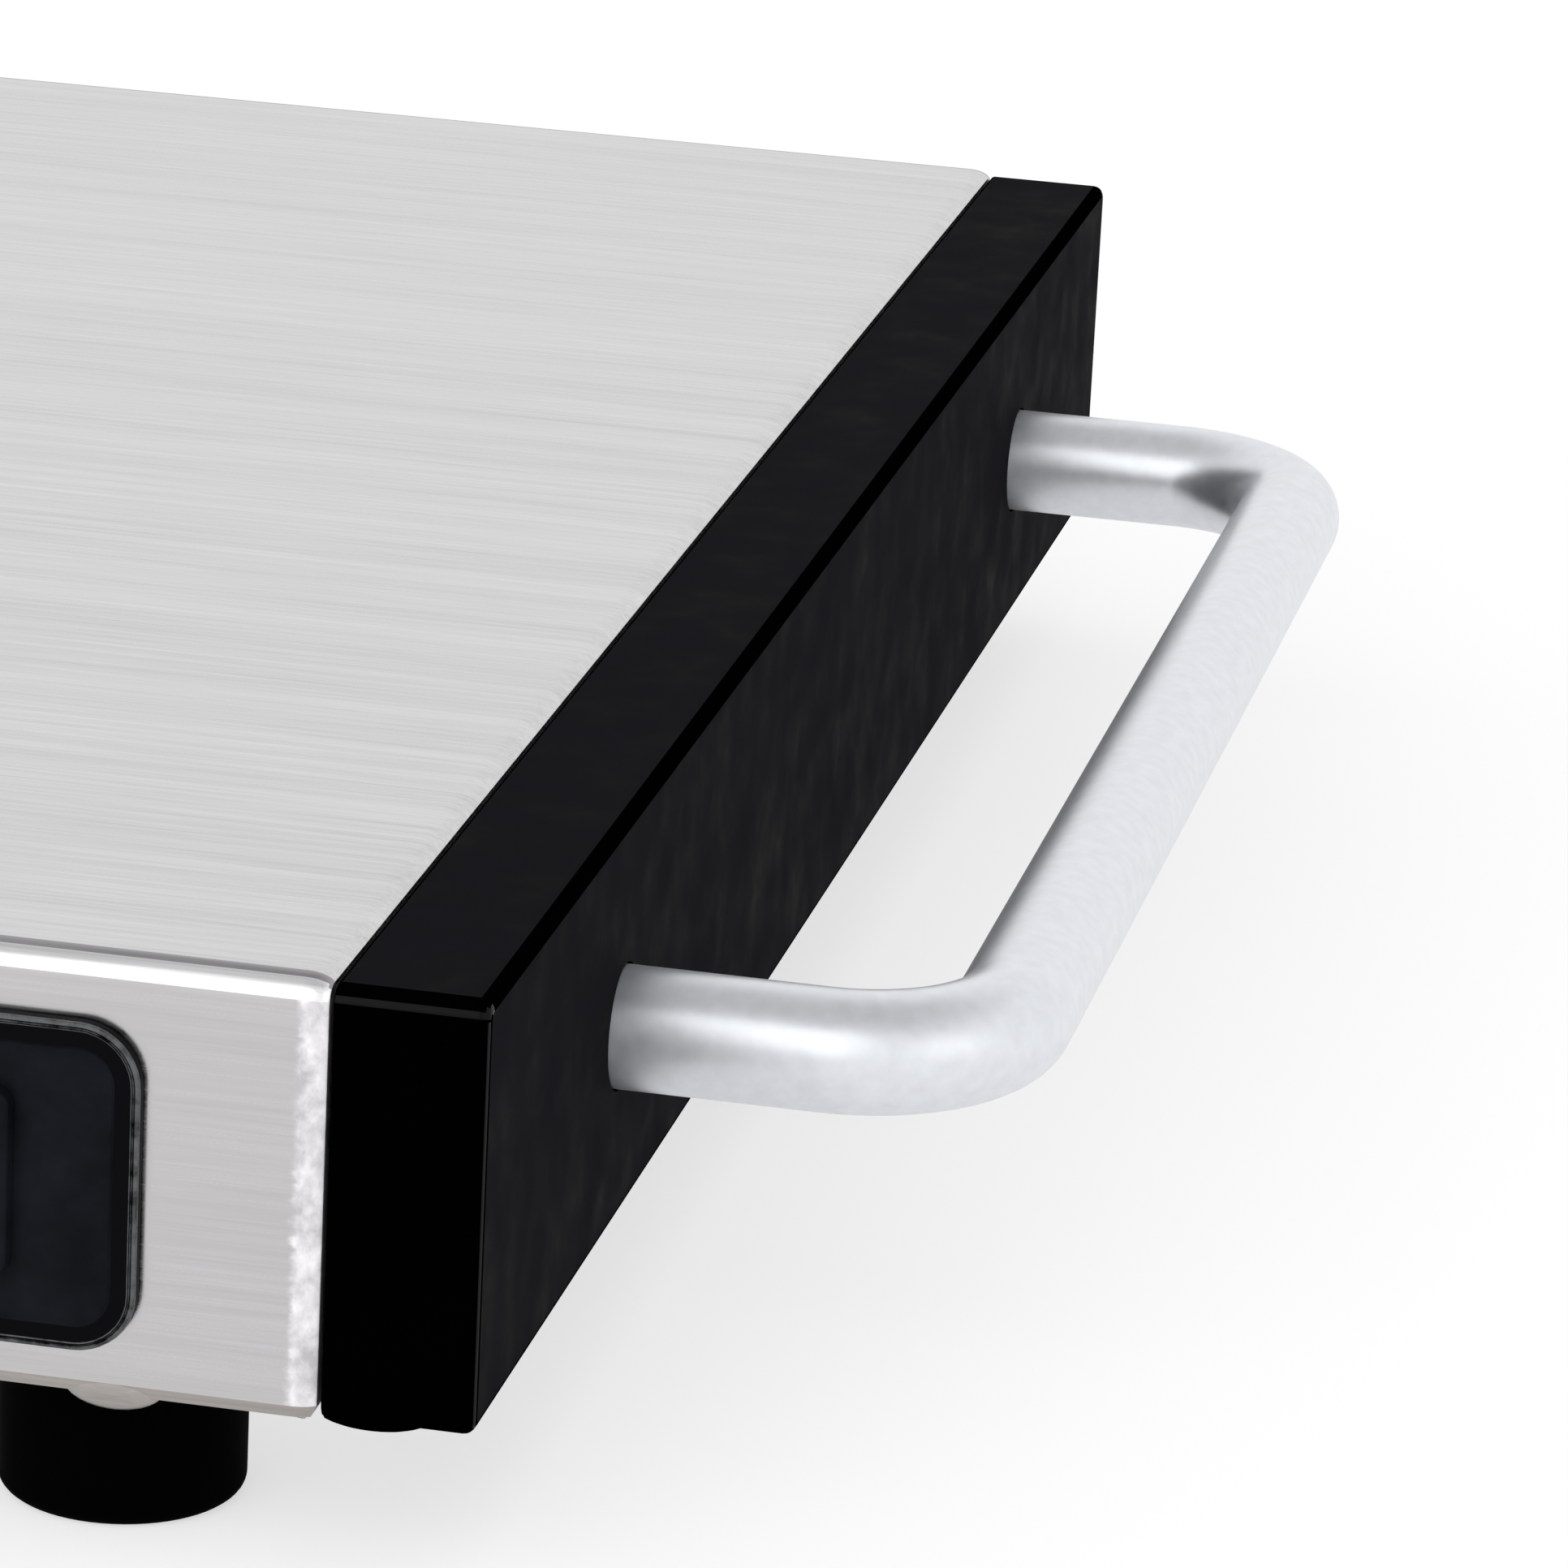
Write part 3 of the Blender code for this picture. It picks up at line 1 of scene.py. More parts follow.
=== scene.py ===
# %% [markdown]
# # An electric food warmer tray
# A flat stainless tray keeps dishes warm. Its cover is brushed sheet, bent down all round. Black plastic caps
# close its two ends, aluminium tube handles stand out of them, and a black panel on the front apron carries a
# rocker switch, a lamp and a heat knob. The photograph looks at the right front corner from close by.
#
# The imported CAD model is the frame: it says where each piece is and what moves it. This lesson models the
# outside pieces again with smooth bends, and gives every piece a finish made of nodes.

# %% Load the frame
import json
import math

import bmesh
import bpy
from mathutils import Matrix, Vector


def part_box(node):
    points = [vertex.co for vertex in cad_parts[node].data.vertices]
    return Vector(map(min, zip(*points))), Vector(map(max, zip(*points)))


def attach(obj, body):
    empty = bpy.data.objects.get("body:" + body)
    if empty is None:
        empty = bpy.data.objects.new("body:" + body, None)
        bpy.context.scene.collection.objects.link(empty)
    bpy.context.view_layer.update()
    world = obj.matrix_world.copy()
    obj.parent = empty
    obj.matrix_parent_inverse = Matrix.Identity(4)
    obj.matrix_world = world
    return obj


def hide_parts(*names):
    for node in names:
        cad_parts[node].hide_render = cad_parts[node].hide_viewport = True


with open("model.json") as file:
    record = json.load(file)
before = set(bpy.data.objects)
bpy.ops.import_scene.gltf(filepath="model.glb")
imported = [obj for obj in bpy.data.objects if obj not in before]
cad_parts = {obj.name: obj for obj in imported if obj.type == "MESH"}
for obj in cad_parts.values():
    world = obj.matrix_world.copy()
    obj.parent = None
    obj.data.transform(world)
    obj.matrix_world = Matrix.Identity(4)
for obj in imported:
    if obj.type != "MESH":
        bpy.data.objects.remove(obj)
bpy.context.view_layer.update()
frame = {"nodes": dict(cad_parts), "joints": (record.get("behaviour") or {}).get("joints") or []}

# %% [markdown]
# ## The camera
# The camera was found from the photograph: the edges of the tray were measured in its pixels, and one pinhole
# camera was solved for all of them. It stands to the right of the front, looks 18 degrees down, and is rolled
# by almost 3 degrees. A long lens of 185 mm gives the flat perspective of the picture.

# %% Place the camera
CAMERA_PLACE = Vector((0.4551, -0.94125, 0.3424))
CAMERA_YAW = -0.1894
CAMERA_PITCH = 0.3112
CAMERA_ROLL = 0.0499
FOCAL_PIXELS = 9939
PHOTO_PIXELS = 1932
SENSOR = 36.0
NEAREST = 0.01

yaw_sin, yaw_cos = math.sin(CAMERA_YAW), math.cos(CAMERA_YAW)
pitch_sin, pitch_cos = math.sin(CAMERA_PITCH), math.cos(CAMERA_PITCH)
forward = Vector((yaw_sin * pitch_cos, yaw_cos * pitch_cos, -pitch_sin))
level_right = Vector((yaw_cos, -yaw_sin, 0))
level_up = Vector((yaw_sin * pitch_sin, yaw_cos * pitch_sin, pitch_cos))
right = level_right * math.cos(CAMERA_ROLL) + level_up * math.sin(CAMERA_ROLL)
up = level_up * math.cos(CAMERA_ROLL) - level_right * math.sin(CAMERA_ROLL)
facing = Matrix((right, up, -forward)).transposed().to_4x4()

camera_data = bpy.data.cameras.new("photo_camera")
camera_data.sensor_fit = "HORIZONTAL"
camera_data.sensor_width = SENSOR
camera_data.lens = FOCAL_PIXELS / PHOTO_PIXELS * SENSOR
camera_data.clip_start = NEAREST
camera = bpy.data.objects.new("photo_camera", camera_data)
camera.matrix_world = Matrix.Translation(CAMERA_PLACE) @ facing
bpy.context.scene.collection.objects.link(camera)
bpy.context.scene.camera = camera
print("lens", round(camera_data.lens, 1), "mm")

# %% [markdown]
# ## Nodes by name
# The world, the floor and every finish are small trees of nodes. A few helpers keep them readable: one adds a
# node and sets its inputs by name, and one joins two values in a Math node. An input that is given a socket
# gets a link to it, and one that is given a number or a colour keeps it.

# %% Helpers that build node trees
WHITE = (1, 1, 1, 1)


def fill(tree, node, values):
    """Set inputs of a node, found by name or number: a socket is linked, and anything else is the value."""
    for key, value in values.items():
        if isinstance(value, bpy.types.NodeSocket):
            tree.links.new(value, node.inputs[key])
        else:
            node.inputs[key].default_value = value


def add_node(tree, kind, *inputs, **values):
    """Add a node. Inputs come in order, or by name with _ for a space, and other names are its properties."""
    node = tree.nodes.new(kind)
    for key in [key for key in values if hasattr(node, key)]:
        setattr(node, key, values.pop(key))
    fill(tree, node, dict(enumerate(inputs)))
    fill(tree, node, {key.replace("_", " "): value for key, value in values.items()})
    return node


def joined(tree, operation, first, second):
    """One Math node on two sockets or numbers."""
    return add_node(tree, "ShaderNodeMath", first, second, operation=operation).outputs[0]


def new_material(name):
    """A new material, with its node tree and its Principled shader."""
    material = bpy.data.materials.new(name)
    material.use_nodes = True
    tree = material.node_tree
    return material, tree, tree.nodes["Principled BSDF"]


def mesh_object(name, bm):
    """Turn a bmesh into an object of the scene."""
    mesh = bpy.data.meshes.new(name)
    bm.to_mesh(mesh)
    bm.free()
    made = bpy.data.objects.new(name, mesh)
    bpy.context.scene.collection.objects.link(made)
    return made


# %% [markdown]
# ## The studio
# The photograph is cut out on pure white, as a product picture is. A white world gives that: the camera and
# anything shiny see it at strength 1 round the horizon and dimmer overhead, like a white room under a plain
# ceiling, while it lights the tray more softly. The floor is a large pale sheet that keeps the tray's shadow.
# Two area lamps are the soft boxes: one in front draws the hot band along the tubes and the front bend, and a
# weak one at the right lifts the cap's side. The front one is kept low enough for the top not to clip from
# behind.

# %% Floor, world and lamps
WORLD_FILL = 0.63
CEILING_START = math.radians(35)
CEILING_FULL = math.radians(75)
CEILING_LEVEL = 0.52
FLOOR_SIZE = 12.0
FLOOR_COLOUR = (0.60, 0.60, 0.60, 1)
FLOOR_LIFT = 0.60
LAMPS = [
    ("front_box", (-0.35, -2.12, 1.36), (0.0, -0.1, 0.05), (2.2, 2.1), 11.5),
    ("right_box", (1.9, -0.9, 0.7), (0.2, -0.1, 0.0), (1.2, 1.0), 1.5),
]


def seen_directly(tree):
    """A value that is 1 for what the camera sees, straight or through gloss or glass."""
    path = add_node(tree, "ShaderNodeLightPath").outputs
    straight = joined(tree, "MAXIMUM", path["Is Camera Ray"], path["Is Glossy Ray"])
    return joined(tree, "MAXIMUM", straight, path["Is Transmission Ray"])


def make_world():
    """White for the camera and for reflections, softer as a light."""
    world = bpy.data.worlds.new("white_studio")
    bpy.context.scene.world = world
    world.use_nodes = True
    tree = world.node_tree
    place = add_node(tree, "ShaderNodeTexCoord").outputs["Generated"]
    height = add_node(tree, "ShaderNodeSeparateXYZ", place).outputs["Z"]
    dome = add_node(tree, "ShaderNodeMapRange", interpolation_type="SMOOTHSTEP", Value=height,
                    From_Min=math.sin(CEILING_START), From_Max=math.sin(CEILING_FULL),
                    To_Min=1.0, To_Max=CEILING_LEVEL)
    level = add_node(tree, "ShaderNodeMapRange", Value=seen_directly(tree),
                     To_Min=WORLD_FILL, To_Max=dome.outputs["Result"])
    fill(tree, tree.nodes["Background"], {"Color": WHITE, "Strength": level.outputs["Result"]})


def make_floor():
    """A large pale floor. It keeps shadows, and is lifted to white for the camera and for gloss."""
    bm = bmesh.new()
    bmesh.ops.create_grid(bm, x_segments=1, y_segments=1, size=FLOOR_SIZE / 2)
    floor = mesh_object("floor", bm)
    material, tree, shader = new_material("pale_floor")
    lift = joined(tree, "MULTIPLY", seen_directly(tree), FLOOR_LIFT)
    fill(tree, shader, {"Base Color": FLOOR_COLOUR, "Roughness": 1.0, "Specular IOR Level": 0.0,
                        "Emission Color": WHITE, "Emission Strength": lift})
    floor.data.materials.append(material)


def make_lamp(name, place, target, size, watts):
    """One soft box: a flat area lamp that looks at a point."""
    data = bpy.data.lights.new(name, "AREA")
    data.shape = "RECTANGLE"
    data.size, data.size_y = size
    data.energy = watts
    lamp = bpy.data.objects.new(name, data)
    lamp.location = place
    lamp.visible_camera = False
    lamp.rotation_euler = (Vector(target) - Vector(place)).to_track_quat("-Z", "Y").to_euler()
    bpy.context.scene.collection.objects.link(lamp)
    print(name, watts, "W")


make_world()
make_floor()
for lamp_values in LAMPS:
    make_lamp(*lamp_values)
bpy.context.scene.view_settings.view_transform = "Standard"

# %% [markdown]
# ## Finishes
# Each finish is a Principled shader fed by noise. Effects that several finishes share are node groups, built
# once: streaks for brushed metal, and a skin of grain and cloud for moulded or sanded faces. All of them read
# Object coordinates, which are the real metres of the piece, so their scale is the real one.

# %% Node groups for streaks and skin
STREAK_BANDS = [(45.0, 3600.0, 2.0, 0.6), (14.0, 950.0, 2.0, 0.5), (5.0, 170.0, 1.0, 0.5)]
MEDIUM_SHARE = 0.8
WIDE_SHARE = 0.5
GRAIN_DETAIL = 2.0
CLOUD_DETAIL = 5.0
SKIN_VALUES = {"Grain": 2500.0, "Cloud": 60.0, "Contrast": 1.0}


def new_group(name, inputs, outputs):
    """An empty node group with named float inputs and outputs."""
    group = bpy.data.node_groups.new(name, "ShaderNodeTree")
    for label, value in inputs.items():
        socket = group.interface.new_socket(label, in_out="INPUT", socket_type="NodeSocketFloat")
        socket.default_value = value
    for label in outputs:
        group.interface.new_socket(label, in_out="OUTPUT", socket_type="NodeSocketFloat")
    return group, add_node(group, "NodeGroupInput").outputs, add_node(group, "NodeGroupOutput")


def centred_noise(tree, coordinates, scale, detail, roughness=0.5):
    """Noise on given coordinates, moved so that its mean is 0."""
    noise = add_node(tree, "ShaderNodeTexNoise", Vector=coordinates, Scale=scale, Detail=detail,
                     Roughness=roughness)
    return joined(tree, "SUBTRACT", noise.outputs["Fac"], 0.5)


def stretched(tree, along, across):
    """Object coordinates squeezed so that a pattern runs along X."""
    place = add_node(tree, "ShaderNodeTexCoord").outputs["Object"]
    mapping = add_node(tree, "ShaderNodeMapping", Vector=place, Scale=(along, across, across))
    return mapping.outputs["Vector"]


def make_streaks():
    """Brushing: hair-fine lines along X, wider faint bands, and a slow drift of tone."""
    group, _, out = new_group("brushed_streaks", {}, ["Tone", "Height"])
    fine, medium, wide = [centred_noise(group, stretched(group, along, across), 1.0, detail, roughness)
                          for along, across, detail, roughness in STREAK_BANDS]
    lines = joined(group, "ADD", fine, joined(group, "MULTIPLY", medium, MEDIUM_SHARE))
    tone = joined(group, "ADD", lines, joined(group, "MULTIPLY", wide, WIDE_SHARE))
    fill(group, out, {"Tone": tone, "Height": lines})
    return group


def make_skin():
    """Moulded or blasted skin: fine grain for the bump, and a soft cloud for the tone."""
    group, given, out = new_group("skin_grain", SKIN_VALUES, ["Tone", "Height"])
    place = add_node(group, "ShaderNodeTexCoord").outputs["Object"]
    grain = centred_noise(group, place, given["Grain"], GRAIN_DETAIL)
    cloud = centred_noise(group, place, given["Cloud"], CLOUD_DETAIL)
    fill(group, out, {"Height": grain, "Tone": joined(group, "MULTIPLY", cloud, given["Contrast"])})
    return group


STREAKS = make_streaks()
SKIN = make_skin()
print("groups", [group.name for group in bpy.data.node_groups])

# %% [markdown]
# A finish takes one of those groups and lets its tone move the colour and the roughness a little, and its
# height drive a bump. Values that are the same all over the surface go on the shader's own sockets.

# %% A finish from a group
MIX_SOCKETS = {"RGBA": (6, 7, 2), "FLOAT": (2, 3, 0)}


def mixed(tree, share, first, second, kind="RGBA"):
    """Blend two colours, or two numbers, in a Mix node, whose sockets for each kind have their own places."""
    at_first, at_second, result = MIX_SOCKETS[kind]
    node = add_node(tree, "ShaderNodeMix", share, data_type=kind)
    fill(tree, node, {at_first: first, at_second: second})
    return node.outputs[result]


def finish(name, colour, roughness, tone=0.1, rough_tone=0.1, bump=0.1, depth=0.00002, metallic=0.0,
           specular=0.5, skin=(), group=SKIN, **sockets):
    """A Principled material whose colour, roughness and bump come from a node group."""
    material, tree, shader = new_material(name)
    effect = add_node(tree, "ShaderNodeGroup", node_tree=group)
    fill(tree, effect, dict(zip(SKIN_VALUES, skin)))
    dark, light = [tuple(part * share for part in colour) + (1,) for share in (1 - tone, 1 + tone)]
    level = joined(tree, "ADD", effect.outputs["Tone"], 0.5)
    spread = joined(tree, "MULTIPLY", effect.outputs["Tone"], rough_tone)
    relief = add_node(tree, "ShaderNodeBump", Strength=bump, Distance=depth, Height=effect.outputs["Height"])
    fill(tree, shader, {"Base Color": mixed(tree, level, dark, light), "Metallic": metallic,
                        "Roughness": joined(tree, "ADD", spread, roughness),
                        "Specular IOR Level": specular, "Normal": relief.outputs["Normal"]})
    fill(tree, shader, {label.replace("_", " "): value for label, value in sockets.items()})
    return material


# %% [markdown]
# ### Brushed steel
# The cover is one sheet, yet its faces look different, because each catches the light another way. That light
# and shade is painted into copies of one steel: the upright front is darker with painted shade, the bend's
# upper half lighter with a painted highlight, its start and the lip below darker with painted shade. All have
# the same streaks.

# %% The steels
def brushed(name, colour, roughness, tone, rough_tone, bump):
    """A brushed steel."""
    return finish(name, colour, roughness, tone, rough_tone, bump, depth=0.00001, metallic=1.0, group=STREAKS)


STEEL = brushed("brushed_stainless", (0.62, 0.62, 0.625), 0.30, 0.28, 0.25, 0.25)
# Painted light: the front, the bend start and the lip are darker copies of the top steel (painted shade), and
# the bend is a lighter copy (painted highlight).
STEEL_FRONT_PAINTED_LIGHT = brushed("brushed_stainless_front_painted_light", (0.550, 0.540, 0.547), 0.24, 0.11, 0.25, 0.25)
STEEL_BEND_PAINTED_HIGHLIGHT = brushed("brushed_stainless_bend_painted_highlight", (0.88, 0.88, 0.89), 0.28, 0.15, 0.3, 0.35)
STEEL_BEND_PAINTED_SHADE = brushed("brushed_stainless_bend_painted_shade", (0.34, 0.33, 0.345), 0.38, 0.35, 0.3, 0.3)
STEEL_LIP_PAINTED_SHADE = brushed("brushed_stainless_lip_painted_shade", (0.40, 0.375, 0.355), 0.42, 0.25, 0.25, 0.3)
print("steels", [material.name for material in bpy.data.materials if material.name.startswith("brushed")])

# %% [markdown]
# ### Plastic, rubber and the other metals
# The black pieces are far from equally black, partly through painted light and shade. The caps have a grained
# skin that is a little grey, with roundings and ends made darker by painted shade, and a narrow polished strip.
# The panel has a satin floor, a darker rim and a light edge that is a painted highlight. The three numbers of a
# skin are the scale of its grain, the scale of its cloud, and its contrast.

# %% The black finishes
BLACK = finish("moulded_black_plastic", (0.0050, 0.0050, 0.0070), 0.85, tone=0.8, rough_tone=0.3, bump=0.10,
               depth=0.00005, specular=0.03, skin=(1800.0, 130.0, 2.5))
# Painted shade: the deep black stands for the shade and dark reflections on the caps' roundings, their front
# and rear ends, and the beads below them. The polished strip shares that painted shade in its colour, and its
# light line comes from its gloss.
BLACK_PAINTED_SHADE = finish("black_plastic_painted_shade", (0.0005, 0.0005, 0.0006), 0.70, tone=0.4, rough_tone=0.2, bump=0.05,
                    depth=0.00003, specular=0.0)
BLACK_EDGE = finish("polished_black_edge", (0.0008, 0.0008, 0.0010), 0.28, tone=0.4, rough_tone=0.2,
                    bump=0.05, depth=0.00003, specular=0.10)
PANEL_BLACK = finish("satin_panel_plastic", (0.0115, 0.0128, 0.0175), 0.42, tone=0.4, rough_tone=0.2,
                     bump=0.08, depth=0.00003, specular=0.04, skin=(3000.0, 150.0, 2.5))
PANEL_RIM = finish("dark_panel_rim", (0.0036, 0.0039, 0.0052), 0.45, tone=0.4, rough_tone=0.2, bump=0.08,
                   depth=0.00003, specular=0.03)
# Painted highlight: this light grey stands for the light that the front chamfer and bead catch, broken up by
# noise.
PANEL_PAINTED_HIGHLIGHT = finish("panel_edge_painted_highlight", (0.085, 0.090, 0.094), 0.34, tone=0.96, rough_tone=1.0, bump=0.4,
                     depth=0.00004, skin=(1600.0, 650.0, 3.0))
CONTROL_BLACK = finish("satin_control_plastic", (0.011, 0.0115, 0.013), 0.32, tone=0.3, rough_tone=0.2,
                       bump=0.08, depth=0.00003, specular=0.14, skin=(3000.0, 200.0))
RUBBER = finish("black_rubber", (0.0009, 0.0009, 0.0011), 0.80, tone=0.5, rough_tone=0.3, bump=0.2,
                depth=0.00005, specular=0.01, skin=(1400.0, 120.0))

# %% The other finishes
ALUMINIUM = finish("satin_aluminium", (0.81, 0.83, 0.87), 0.35, tone=0.08, rough_tone=0.04, bump=0.08,
                   metallic=0.80, skin=(1500.0, 500.0, 1.3))
ZINC = finish("zinc_plated_steel", (0.56, 0.57, 0.60), 0.38, tone=0.25, rough_tone=0.3, bump=0.15,
              depth=0.00003, metallic=1.0, skin=(1500.0, 160.0))
BRASS = finish("brass", (0.72, 0.53, 0.24), 0.30, tone=0.15, rough_tone=0.3, metallic=1.0)
AMBER = finish("amber_lens", (0.85, 0.28, 0.02), 0.12, tone=0.12, rough_tone=0.05, bump=0.03,
               skin=(600.0, 300.0), Coat_Weight=0.6, Coat_Roughness=0.05)
FIBRE = finish("mineral_fibre", (0.62, 0.58, 0.50), 0.95, tone=0.35, bump=0.8, depth=0.0004, specular=0.1,
               skin=(700.0, 90.0))
SHEATH = finish("oxidised_sheath", (0.16, 0.14, 0.13), 0.5, tone=0.3, rough_tone=0.3, bump=0.2, metallic=0.8)
BROWN = finish("brown_wire", (0.09, 0.035, 0.015), 0.4, tone=0.15)
BLUE = finish("blue_wire", (0.02, 0.07, 0.30), 0.4, tone=0.15)
GREEN = finish("earth_wire", (0.10, 0.28, 0.03), 0.4, tone=0.15)
WHITE_INK = finish("white_print", (0.72, 0.72, 0.72), 0.5, tone=0.06)
print("materials", len(bpy.data.materials))

# %% [markdown]
# ### The painted corner highlight
# Where the sheet rolls over beside the caps, a painted highlight makes it almost white: the light that the roll
# catches is painted into the colour, in uneven patches. A mask finds that band by its distance from the middle
# of the tray, and noise makes its border and its cover uneven. The front finish blends to the highlight colour
# and its roughness through it.

# %% The painted highlight band at the corners
# Painted highlight: a near-white colour, broken by darker patches, stands in for the light on the corner roll.
CORNER_HIGHLIGHT_COLOUR = (0.97, 0.955, 0.97, 1)
CORNER_HIGHLIGHT_DARK = (0.56, 0.55, 0.57, 1)
CORNER_HIGHLIGHT_ROUGHNESS = 0.46
CORNER_HIGHLIGHT_RAGGED = 0.0022
CORNER_HIGHLIGHT_SOFT = 0.0005
CORNER_HIGHLIGHT_CONTRAST = 3.0
CORNER_HIGHLIGHT_BORDER = (500.0, 900.0)
CORNER_HIGHLIGHT_PATCHES = (420.0, 300.0)


def make_end_band():
    """A mask that is 1 beyond a distance along X, with an uneven border, and the patches inside it."""
    group, given, out = new_group("end_band", {"Start": 0.26}, ["Mask", "Patches"])
    place = add_node(group, "ShaderNodeTexCoord").outputs["Object"]
    away = joined(group, "ABSOLUTE", add_node(group, "ShaderNodeSeparateXYZ", place).outputs["X"], 0)
    ragged = centred_noise(group, stretched(group, *CORNER_HIGHLIGHT_BORDER), 1.0, 3.0)
    shifted = joined(group, "ADD", away, joined(group, "MULTIPLY", ragged, CORNER_HIGHLIGHT_RAGGED))
    ramp = add_node(group, "ShaderNodeMapRange", interpolation_type="SMOOTHSTEP",
                    Value=joined(group, "SUBTRACT", shifted, given["Start"]),
                    From_Min=-CORNER_HIGHLIGHT_SOFT, From_Max=CORNER_HIGHLIGHT_SOFT)
    patches = centred_noise(group, stretched(group, *CORNER_HIGHLIGHT_PATCHES), 1.0, 4.0, 0.6)
    worn = joined(group, "ADD", joined(group, "MULTIPLY", patches, CORNER_HIGHLIGHT_CONTRAST), 0.5)
    fill(group, out, {"Mask": ramp.outputs["Result"], "Patches": worn})
    return group


def frost_ends(material, start):
    """Blend a finish to the painted highlight beyond a distance from the middle."""
    tree = material.node_tree
    shader = tree.nodes["Principled BSDF"]
    band = add_node(tree, "ShaderNodeGroup", node_tree=make_end_band())
    band.inputs["Start"].default_value = start
    highlight_colour = mixed(tree, band.outputs["Patches"], CORNER_HIGHLIGHT_DARK, CORNER_HIGHLIGHT_COLOUR)
    for label, highlighted, kind in (("Base Color", highlight_colour, "RGBA"), ("Roughness", CORNER_HIGHLIGHT_ROUGHNESS, "FLOAT")):
        plain = shader.inputs[label].links[0].from_socket
        tree.links.new(mixed(tree, band.outputs["Mask"], plain, highlighted, kind), shader.inputs[label])


# %% [markdown]
# ## From a bmesh to a piece
# Every piece goes the same way: its normals are set, it is smoothed with its sharp edges kept, and it is tied
# to the CAD. It rides on a body, and the CAD nodes that it stands for are hidden.
# A weighted normal modifier keeps flat faces looking flat beside their rounded edges.

# %% Make a piece
MERGE = 1e-6
CLOSE = 1e-5
SHARP_ANGLE = math.radians(40)


def piece(name, bm, body, slot, material, *nodes, extra=(), sharp=SHARP_ANGLE):
    """Turn a bmesh into a finished object that stands for CAD nodes."""
    bmesh.ops.remove_doubles(bm, verts=bm.verts, dist=MERGE)
    bm.normal_update()
    bmesh.ops.recalc_face_normals(bm, faces=bm.faces)
    obj = mesh_object(name, bm)
    obj.data.shade_smooth()
    obj.data.set_sharp_from_angle(angle=sharp)
    for each in (material, *extra):
        obj.data.materials.append(each)
    even = obj.modifiers.new("even_normals", "WEIGHTED_NORMAL")
    even.keep_sharp = True
    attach(obj, body)
    if nodes:
        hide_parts(*nodes)
    print(name, len(obj.data.polygons), "faces")


# %% [markdown]
# ### A bench of small tools
# The shapes need the same few steps again and again, as on a bench: a block, a cylinder, a rounded edge and
# one shape cut out of another. Edges are found by where they are, since the boxes come from the CAD.

# %% Blocks and cylinders
def block(bm, low, high):
    """A box between two corners."""
    made = bmesh.ops.create_cube(bm, size=1)["verts"]
    low, high = Vector(low), Vector(high)
    bmesh.ops.scale(bm, vec=high - low, verts=made)
    bmesh.ops.translate(bm, vec=(low + high) / 2, verts=made)


def centred_block(bm, centre, size, low_y, high_y, fit=0):
    """A box about a centre line along Y, wider than its size by a fit on each side."""
    half_x, half_z = size.x / 2 + fit, size.z / 2 + fit
    block(bm, (centre.x - half_x, low_y, centre.z - half_z), (centre.x + half_x, high_y, centre.z + half_z))


def cylinder(bm, low, axis, radius, length, sides=48):
    """A closed cylinder from a point along an axis."""
    made = bmesh.ops.create_cone(bm, cap_ends=True, segments=sides, radius1=radius, radius2=radius,
                                 depth=length)["verts"]
    upright = Vector((0, 0, 1)).rotation_difference(Vector(axis)).to_matrix()
    bmesh.ops.rotate(bm, verts=made, cent=(0, 0, 0), matrix=upright)
    bmesh.ops.translate(bm, verts=made, vec=Vector(low) + Vector(axis) * length / 2)


def move(bm, vec):
    """Move a whole shape."""
    bmesh.ops.translate(bm, verts=bm.verts, vec=vec)


def turn(bm, angle, axis):
    """Turn a whole shape about an axis through the origin."""
    bmesh.ops.rotate(bm, verts=bm.verts, cent=(0, 0, 0), matrix=Matrix.Rotation(angle, 3, axis))


def middle_of(low, high):
    """The middle of a box."""
    return (low + high) / 2


# %% [markdown]
# A cut goes wrong when a shape is inside out, and turning a shape leaves its old normals behind. So before each
# cut the normals are brought up to date, and then made to point outwards.

# %% Edges, roundings and cuts
def edges_where(bm, test):
    """The edges whose two ends both pass a test."""
    return [edge for edge in bm.edges if all(test(vert.co) for vert in edge.verts)]


def edges_at(bm, axis, value):
    """The edges that lie in a plane across an axis: 0 for X, 1 for Y, 2 for Z."""
    return edges_where(bm, lambda co: abs(co[axis] - value) < CLOSE)


def edges_along(bm, axis, among=None):
    """The edges that run along one axis, of all or of some."""
    others = [part for part in range(3) if part != axis]
    return [edge for edge in (bm.edges if among is None else among)
            if all(abs(edge.verts[0].co[part] - edge.verts[1].co[part]) < CLOSE for part in others)]


def round_off(bm, edges, radius, steps=4):
    """Round edges to a radius."""
    bmesh.ops.bevel(bm, geom=list(dict.fromkeys(edges)), offset=radius, segments=steps, profile=0.5,
                    material=-1, affect="EDGES", clamp_overlap=True)


def combine(bm, tool, operation="DIFFERENCE"):
    """Take one closed shape out of another, or join it on, and give back the result."""
    pair = []
    for source in (bm, tool):
        source.normal_update()
        bmesh.ops.recalc_face_normals(source, faces=source.faces)
        pair.append(mesh_object("cutting", source))
    knife = pair[0].modifiers.new("cut", "BOOLEAN")
    knife.operation = operation
    knife.solver = "EXACT"
    knife.object = pair[1]
    solved = pair[0].evaluated_get(bpy.context.evaluated_depsgraph_get())
    result = bmesh.new()
    result.from_mesh(solved.to_mesh())
    for each in pair:
        mesh = each.data
        bpy.data.objects.remove(each)
        bpy.data.meshes.remove(mesh)
    return result


